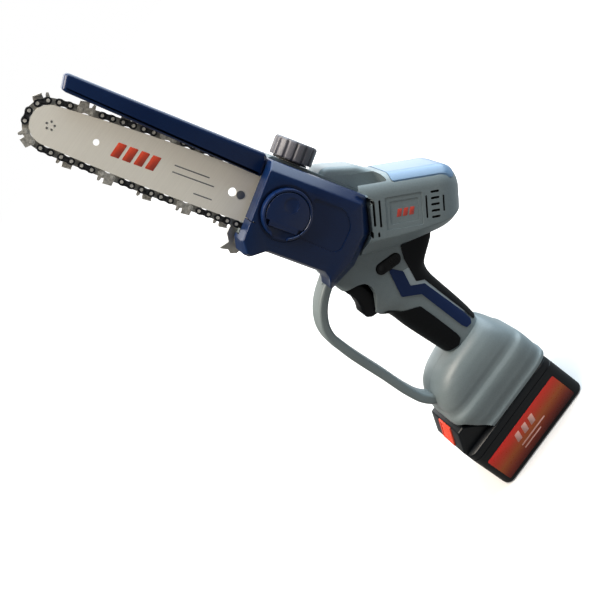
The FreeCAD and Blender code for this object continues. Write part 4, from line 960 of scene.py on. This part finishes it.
lock = plate("lock_off_bar", lock_outline(-0.1), -21.6, 19.8, 0.8, in_saw, button_black)
dish_at = LOCK_AT - np.array([math.cos(LOCK_LEAN), math.sin(LOCK_LEAN)]) * (LOCK_LONG - LOCK_HIGH - 0.2)
marks = [disc("mark", *dish_at, 3.1, -30, -21.2, 0, button_black, in_saw)]
marks += [plate("grip_line", round_corners(rectangle(-0.45, 0.45, -3.2, 3.2)
                                           @ np.array([[math.cos(LOCK_LEAN), math.sin(LOCK_LEAN)],
                                                       [-math.sin(LOCK_LEAN), math.cos(LOCK_LEAN)]])
                                           + LOCK_AT + np.array([1.2 + 2.4 * i, -0.8 - 0.85 * i]), 0.3, 4),
                -30, -21.1, 0, in_saw, button_black) for i in range(4)]
boolean(lock, together("lock_marks", marks))
finish(lock, "dark_plastic", "lock_off", "lock_off_button")

# ---------------------------------------------------------------- battery
# Slide-on pack: black ABS tray and lid, an angled front shoulder with the orange release button, a printed
# film label, and a second release button at the back.
pack_black = moulded_plastic("black ABS", "#060a0e", "#0e1318", 0.38, gloss=0.3)
release_orange = moulded_plastic("orange acetal", "#e2432c", "#f05438", 0.38)
HALF_L, HALF_W, TRAY_TOP, LID_TOP = 58.0, 38.0, 46.0, 54.0


def tub(name, levels, material):
    """Rounded rectangles (height, half length, half width, corner radius) joined into one skin."""
    rings = []
    for z, half_l, half_w, radius in levels:
        ring = round_corners(rectangle(-half_l, half_l, -half_w, half_w), radius, 10)
        rings.append(np.concatenate([ring, np.full((len(ring), 1), z)], 1))
    return through_rings(name, np.array(rings), material)


tray = tub("battery_lower_case", [(0.0, HALF_L - 3, HALF_W - 3, 7), (0.4, HALF_L - 1.6, HALF_W - 1.6, 8),
                                  (1.2, HALF_L - 0.6, HALF_W - 0.6, 8.6),
                                  (2.4, HALF_L - 0.1, HALF_W - 0.1, 9),
                                  (4, HALF_L, HALF_W, 9), (TRAY_TOP - 0.7, HALF_L, HALF_W, 9),
                                  (TRAY_TOP - 0.2, HALF_L - 0.4, HALF_W - 0.4, 8.7)], pack_black)
LABEL = rectangle(-51.5, 47.5, 5.2, 36.8)
label_room = plate("label_room", round_corners(grown(LABEL, 0.5), 2.0), -HALF_W - 3, -HALF_W + 0.45, 0,
                   in_saw, pack_black)
boolean(tray, label_room)
rear_room = plate("rear_room", rectangle(HALF_L - 6, HALF_L + 5, 36, 50.5), -12.4, 12.4, 0, in_saw,
                  pack_black)
grooves = [plate("groove", round_corners(rectangle(-46 + 9 * i, -43 + 9 * i, 6, 38), 1.2, 5), HALF_W - 0.9,
                 HALF_W + 3,
                 0, in_saw, pack_black) for i in range(11)]
boolean(tray, together("tray_grooves", grooves))
boolean(tray, rear_room, keep_tool=True)
finish(tray, "dark_plastic", "battery", "battery_tray")

cover_levels = [(TRAY_TOP + 0.1, HALF_L - 0.4, HALF_W - 0.4, 8.7), (TRAY_TOP + 0.5, HALF_L, HALF_W, 9),
                (LID_TOP - 2.0, HALF_L - 0.2, HALF_W - 0.2, 9),
                (LID_TOP - 0.8, HALF_L - 0.8, HALF_W - 0.8, 8.6),
                (LID_TOP - 0.1, HALF_L - 2.2, HALF_W - 2.2, 7.6)]
top = tub("battery_upper_case", cover_levels, pack_black)
SHOULDER = [(-57.8, 47.5), (-57.8, 56.5), (-46, 75.6), (-38.8, 75.6), (-31.8, 67.8), (-24.2, 56),
            (-22.5, 47.5)]
boolean(top, plate("shoulder", round_corners(SHOULDER, [2.6, 3, 2.6, 2.6, 3, 2.6, 2.6]), -29.8, 29.8, 2.2,
                   in_saw,
                   pack_black), "UNION")
RAIL = rectangle(-22, 34, 51, 65.8)
boolean(top, plate("slide_rail", round_corners(RAIL, 2.0), -19.8, 19.8, 1.5, in_saw, pack_black), "UNION")
# the terminal slots' walls are painted near black: painted shade inside them
blade_slots = [plate("blade_slot", rectangle(8, 26, 58, 70), y - 1.6, y + 1.6, 0, in_saw,
                     hollow_shade_black)
               for y in (-9, 0, 9)]
boolean(top, together("blade_slots", blade_slots), inner_material=True)
SLOPE = math.radians(57.0)
slope_x, slope_z = np.array([math.cos(SLOPE), 0, math.sin(SLOPE)]), np.array([-math.sin(SLOPE), 0,
                                                                              math.cos(SLOPE)])


def on_slope(points):
    """Button frame: x up the slope of the front shoulder, z out of it."""
    p = np.asarray(points, float)
    return np.array([-51.5, 0, 66.0]) + p[..., :1] * slope_x + p[..., 1:2] * [0, 1, 0] + p[..., 2:] * slope_z


cut(top, round_corners(rectangle(-10.5, 10.5, -5.4, 20), 0.5), -12.5, 12.5, on_slope)
boolean(top, rear_room)
finish(top, "dark_plastic", "battery", "battery_lid")


def release_button(name, place, half_long, half_wide):
    """Orange push button: a rounded block with a sunk field and grip bars in it."""
    block = plate(name, round_corners(rectangle(-half_long, half_long, -1.2, 1.5), [0.3, 0.3, 0.7, 0.7], 5),
                  -half_wide, half_wide, 0.6, place, release_orange)
    sunk = plate("sunk", round_corners(rectangle(-half_long + 2.4, half_long - 2.4, 0.7, 5), 0.3),
                 -half_wide + 2.6,
                 half_wide - 2.6, 0, place, release_orange)
    boolean(block, sunk)
    bars = [plate("grip_bar", round_corners(rectangle(u - 0.7, u + 0.7, 0.2, 1.35), 0.4, 4), -half_wide + 4.5,
                  half_wide - 4.5, 0.4, place, release_orange) for u in np.linspace(-4.2, 4.2,
                                                                                    4) * half_long / 10]
    return boolean(block, together("grip_bars", bars), "UNION")


front_button = release_button("front_release_button", on_slope, 10.0, 12.0)
finish(front_button, "release_orange", "front_release", "battery_button_front")
rear_button = release_button("rear_release_button",
                             lambda p: np.stack([HALF_L + p[..., 2] - 0.2, p[..., 1], 43.25 + p[..., 0]], -1),
                             6.7, 12.0)
finish(rear_button, "release_orange", "rear_release", "battery_button_rear")

# ---------------------------------------------------------------- battery label
# Printed polyester film in a shallow recess: red along its upper edge, running through burnt orange to a
# dark red foot, with three pale leaning blocks and two rules printed on it.


def label_film():
    """Printed ink: the height on the film picks the colour, and the bands lean a little along it."""
    material, tree, shader = new_material("printed polyester film")
    spot = node(tree, "SeparateXYZ", Vector=node(tree, "TexCoord").outputs["Object"])
    height = node(tree, "MapRange", {"From Min": 0.005, "From Max": 0.037}, Value=spot.outputs["Z"])
    along = node(tree, "MapRange", {"From Min": -0.052, "From Max": 0.048, "To Min": -0.06, "To Max": 0.06},
                 Value=spot.outputs["X"])
    slant = node(tree, "Math", {"operation": "SUBTRACT"}, i0=height.outputs[0], i1=along.outputs[0])
    ramp = node(tree, "ValToRGB", None, Fac=slant.outputs[0])
    stops = ramp.color_ramp.elements
    stops[0].color, stops[1].color = srgb("#4a0a08"), srgb("#e8281e")
    for at, colour in ((0.22, "#8a2a12"), (0.48, "#b4561f"), (0.74, "#cf3a1e")):
        stops.new(at).color = srgb(colour)
    speck = node(tree, "TexNoise", {"Scale": 900.0, "Detail": 2.0},
                 Vector=node(tree, "TexCoord").outputs["Object"])
    rough = node(tree, "MapRange", {"To Min": 0.24, "To Max": 0.34}, Value=speck.outputs["Fac"])
    tree.links.new(ramp.outputs["Color"], shader.inputs["Base Color"])
    tree.links.new(rough.outputs[0], shader.inputs["Roughness"])
    bump(tree, shader, speck.outputs["Fac"], 0.1, 0.02)
    return material


film = plate("battery_film_label", round_corners(LABEL, 1.6), -HALF_W, -HALF_W + 0.4, 0.1, in_saw,
             label_film())
finish(film, "label_film", "battery", "battery_label")
pale_ink = moulded_plastic("pale pink ink", "#e9a79a", "#f0b9ad", 0.4)
print_y = (-HALF_W - 0.05, -HALF_W + 0.2)
leaning = [plate("block", round_corners([(x, 22.5), (x + 6, 22.5), (x + 9, 31), (x + 3, 31)], 0.5, 4),
                 *print_y, 0,
                 in_saw, pale_ink) for x in (-20, -10, 0)]
rules = [plate("short_bar", round_corners(rectangle(x0, x1, z - 0.7, z + 0.7), 0.4, 4), *print_y, 0, in_saw,
               pale_ink)
         for x0, x1, z in ((-20, 14, 17.2), (-20, 4, 12.8))]
finish(together("label_print", leaning + rules), "label_film", "battery")

# ---------------------------------------------------------------- bar print
# Baked and etched marks on the near face of the bar: a row of leaning red blocks and three grey rules.
bar_red = moulded_plastic("baked orange-red ink", "#d2432a", "#dc5235", 0.42)
bar_grey = moulded_plastic("etched grey fill", "#55565a", "#66676b", 0.5)
print_y = (BAR_Y - 1.65, BAR_Y - 1.55)
blocks = [plate("block", round_corners([(x, BAR_Z - 6), (x + 7, BAR_Z - 6), (x + 10, BAR_Z + 6),
                                        (x + 3, BAR_Z + 6)], 0.6, 4),
                *print_y, 0, in_bar, bar_red) for x in (-122, -112.5, -103, -93.5)]
finish(together("bar_block_marks", blocks), "release_orange", "saw")
rules = [plate("rule", round_corners(rectangle(x0, x1, z - 0.5, z + 0.5), 0.3, 4), *print_y, 0, in_bar,
               bar_grey)
         for x0, x1, z in ((-72, -42, 8.5), (-72, -36, 3.0), (-50, -34, -7.5))]
finish(together("bar_rule_marks", rules), "bar_steel", "saw")
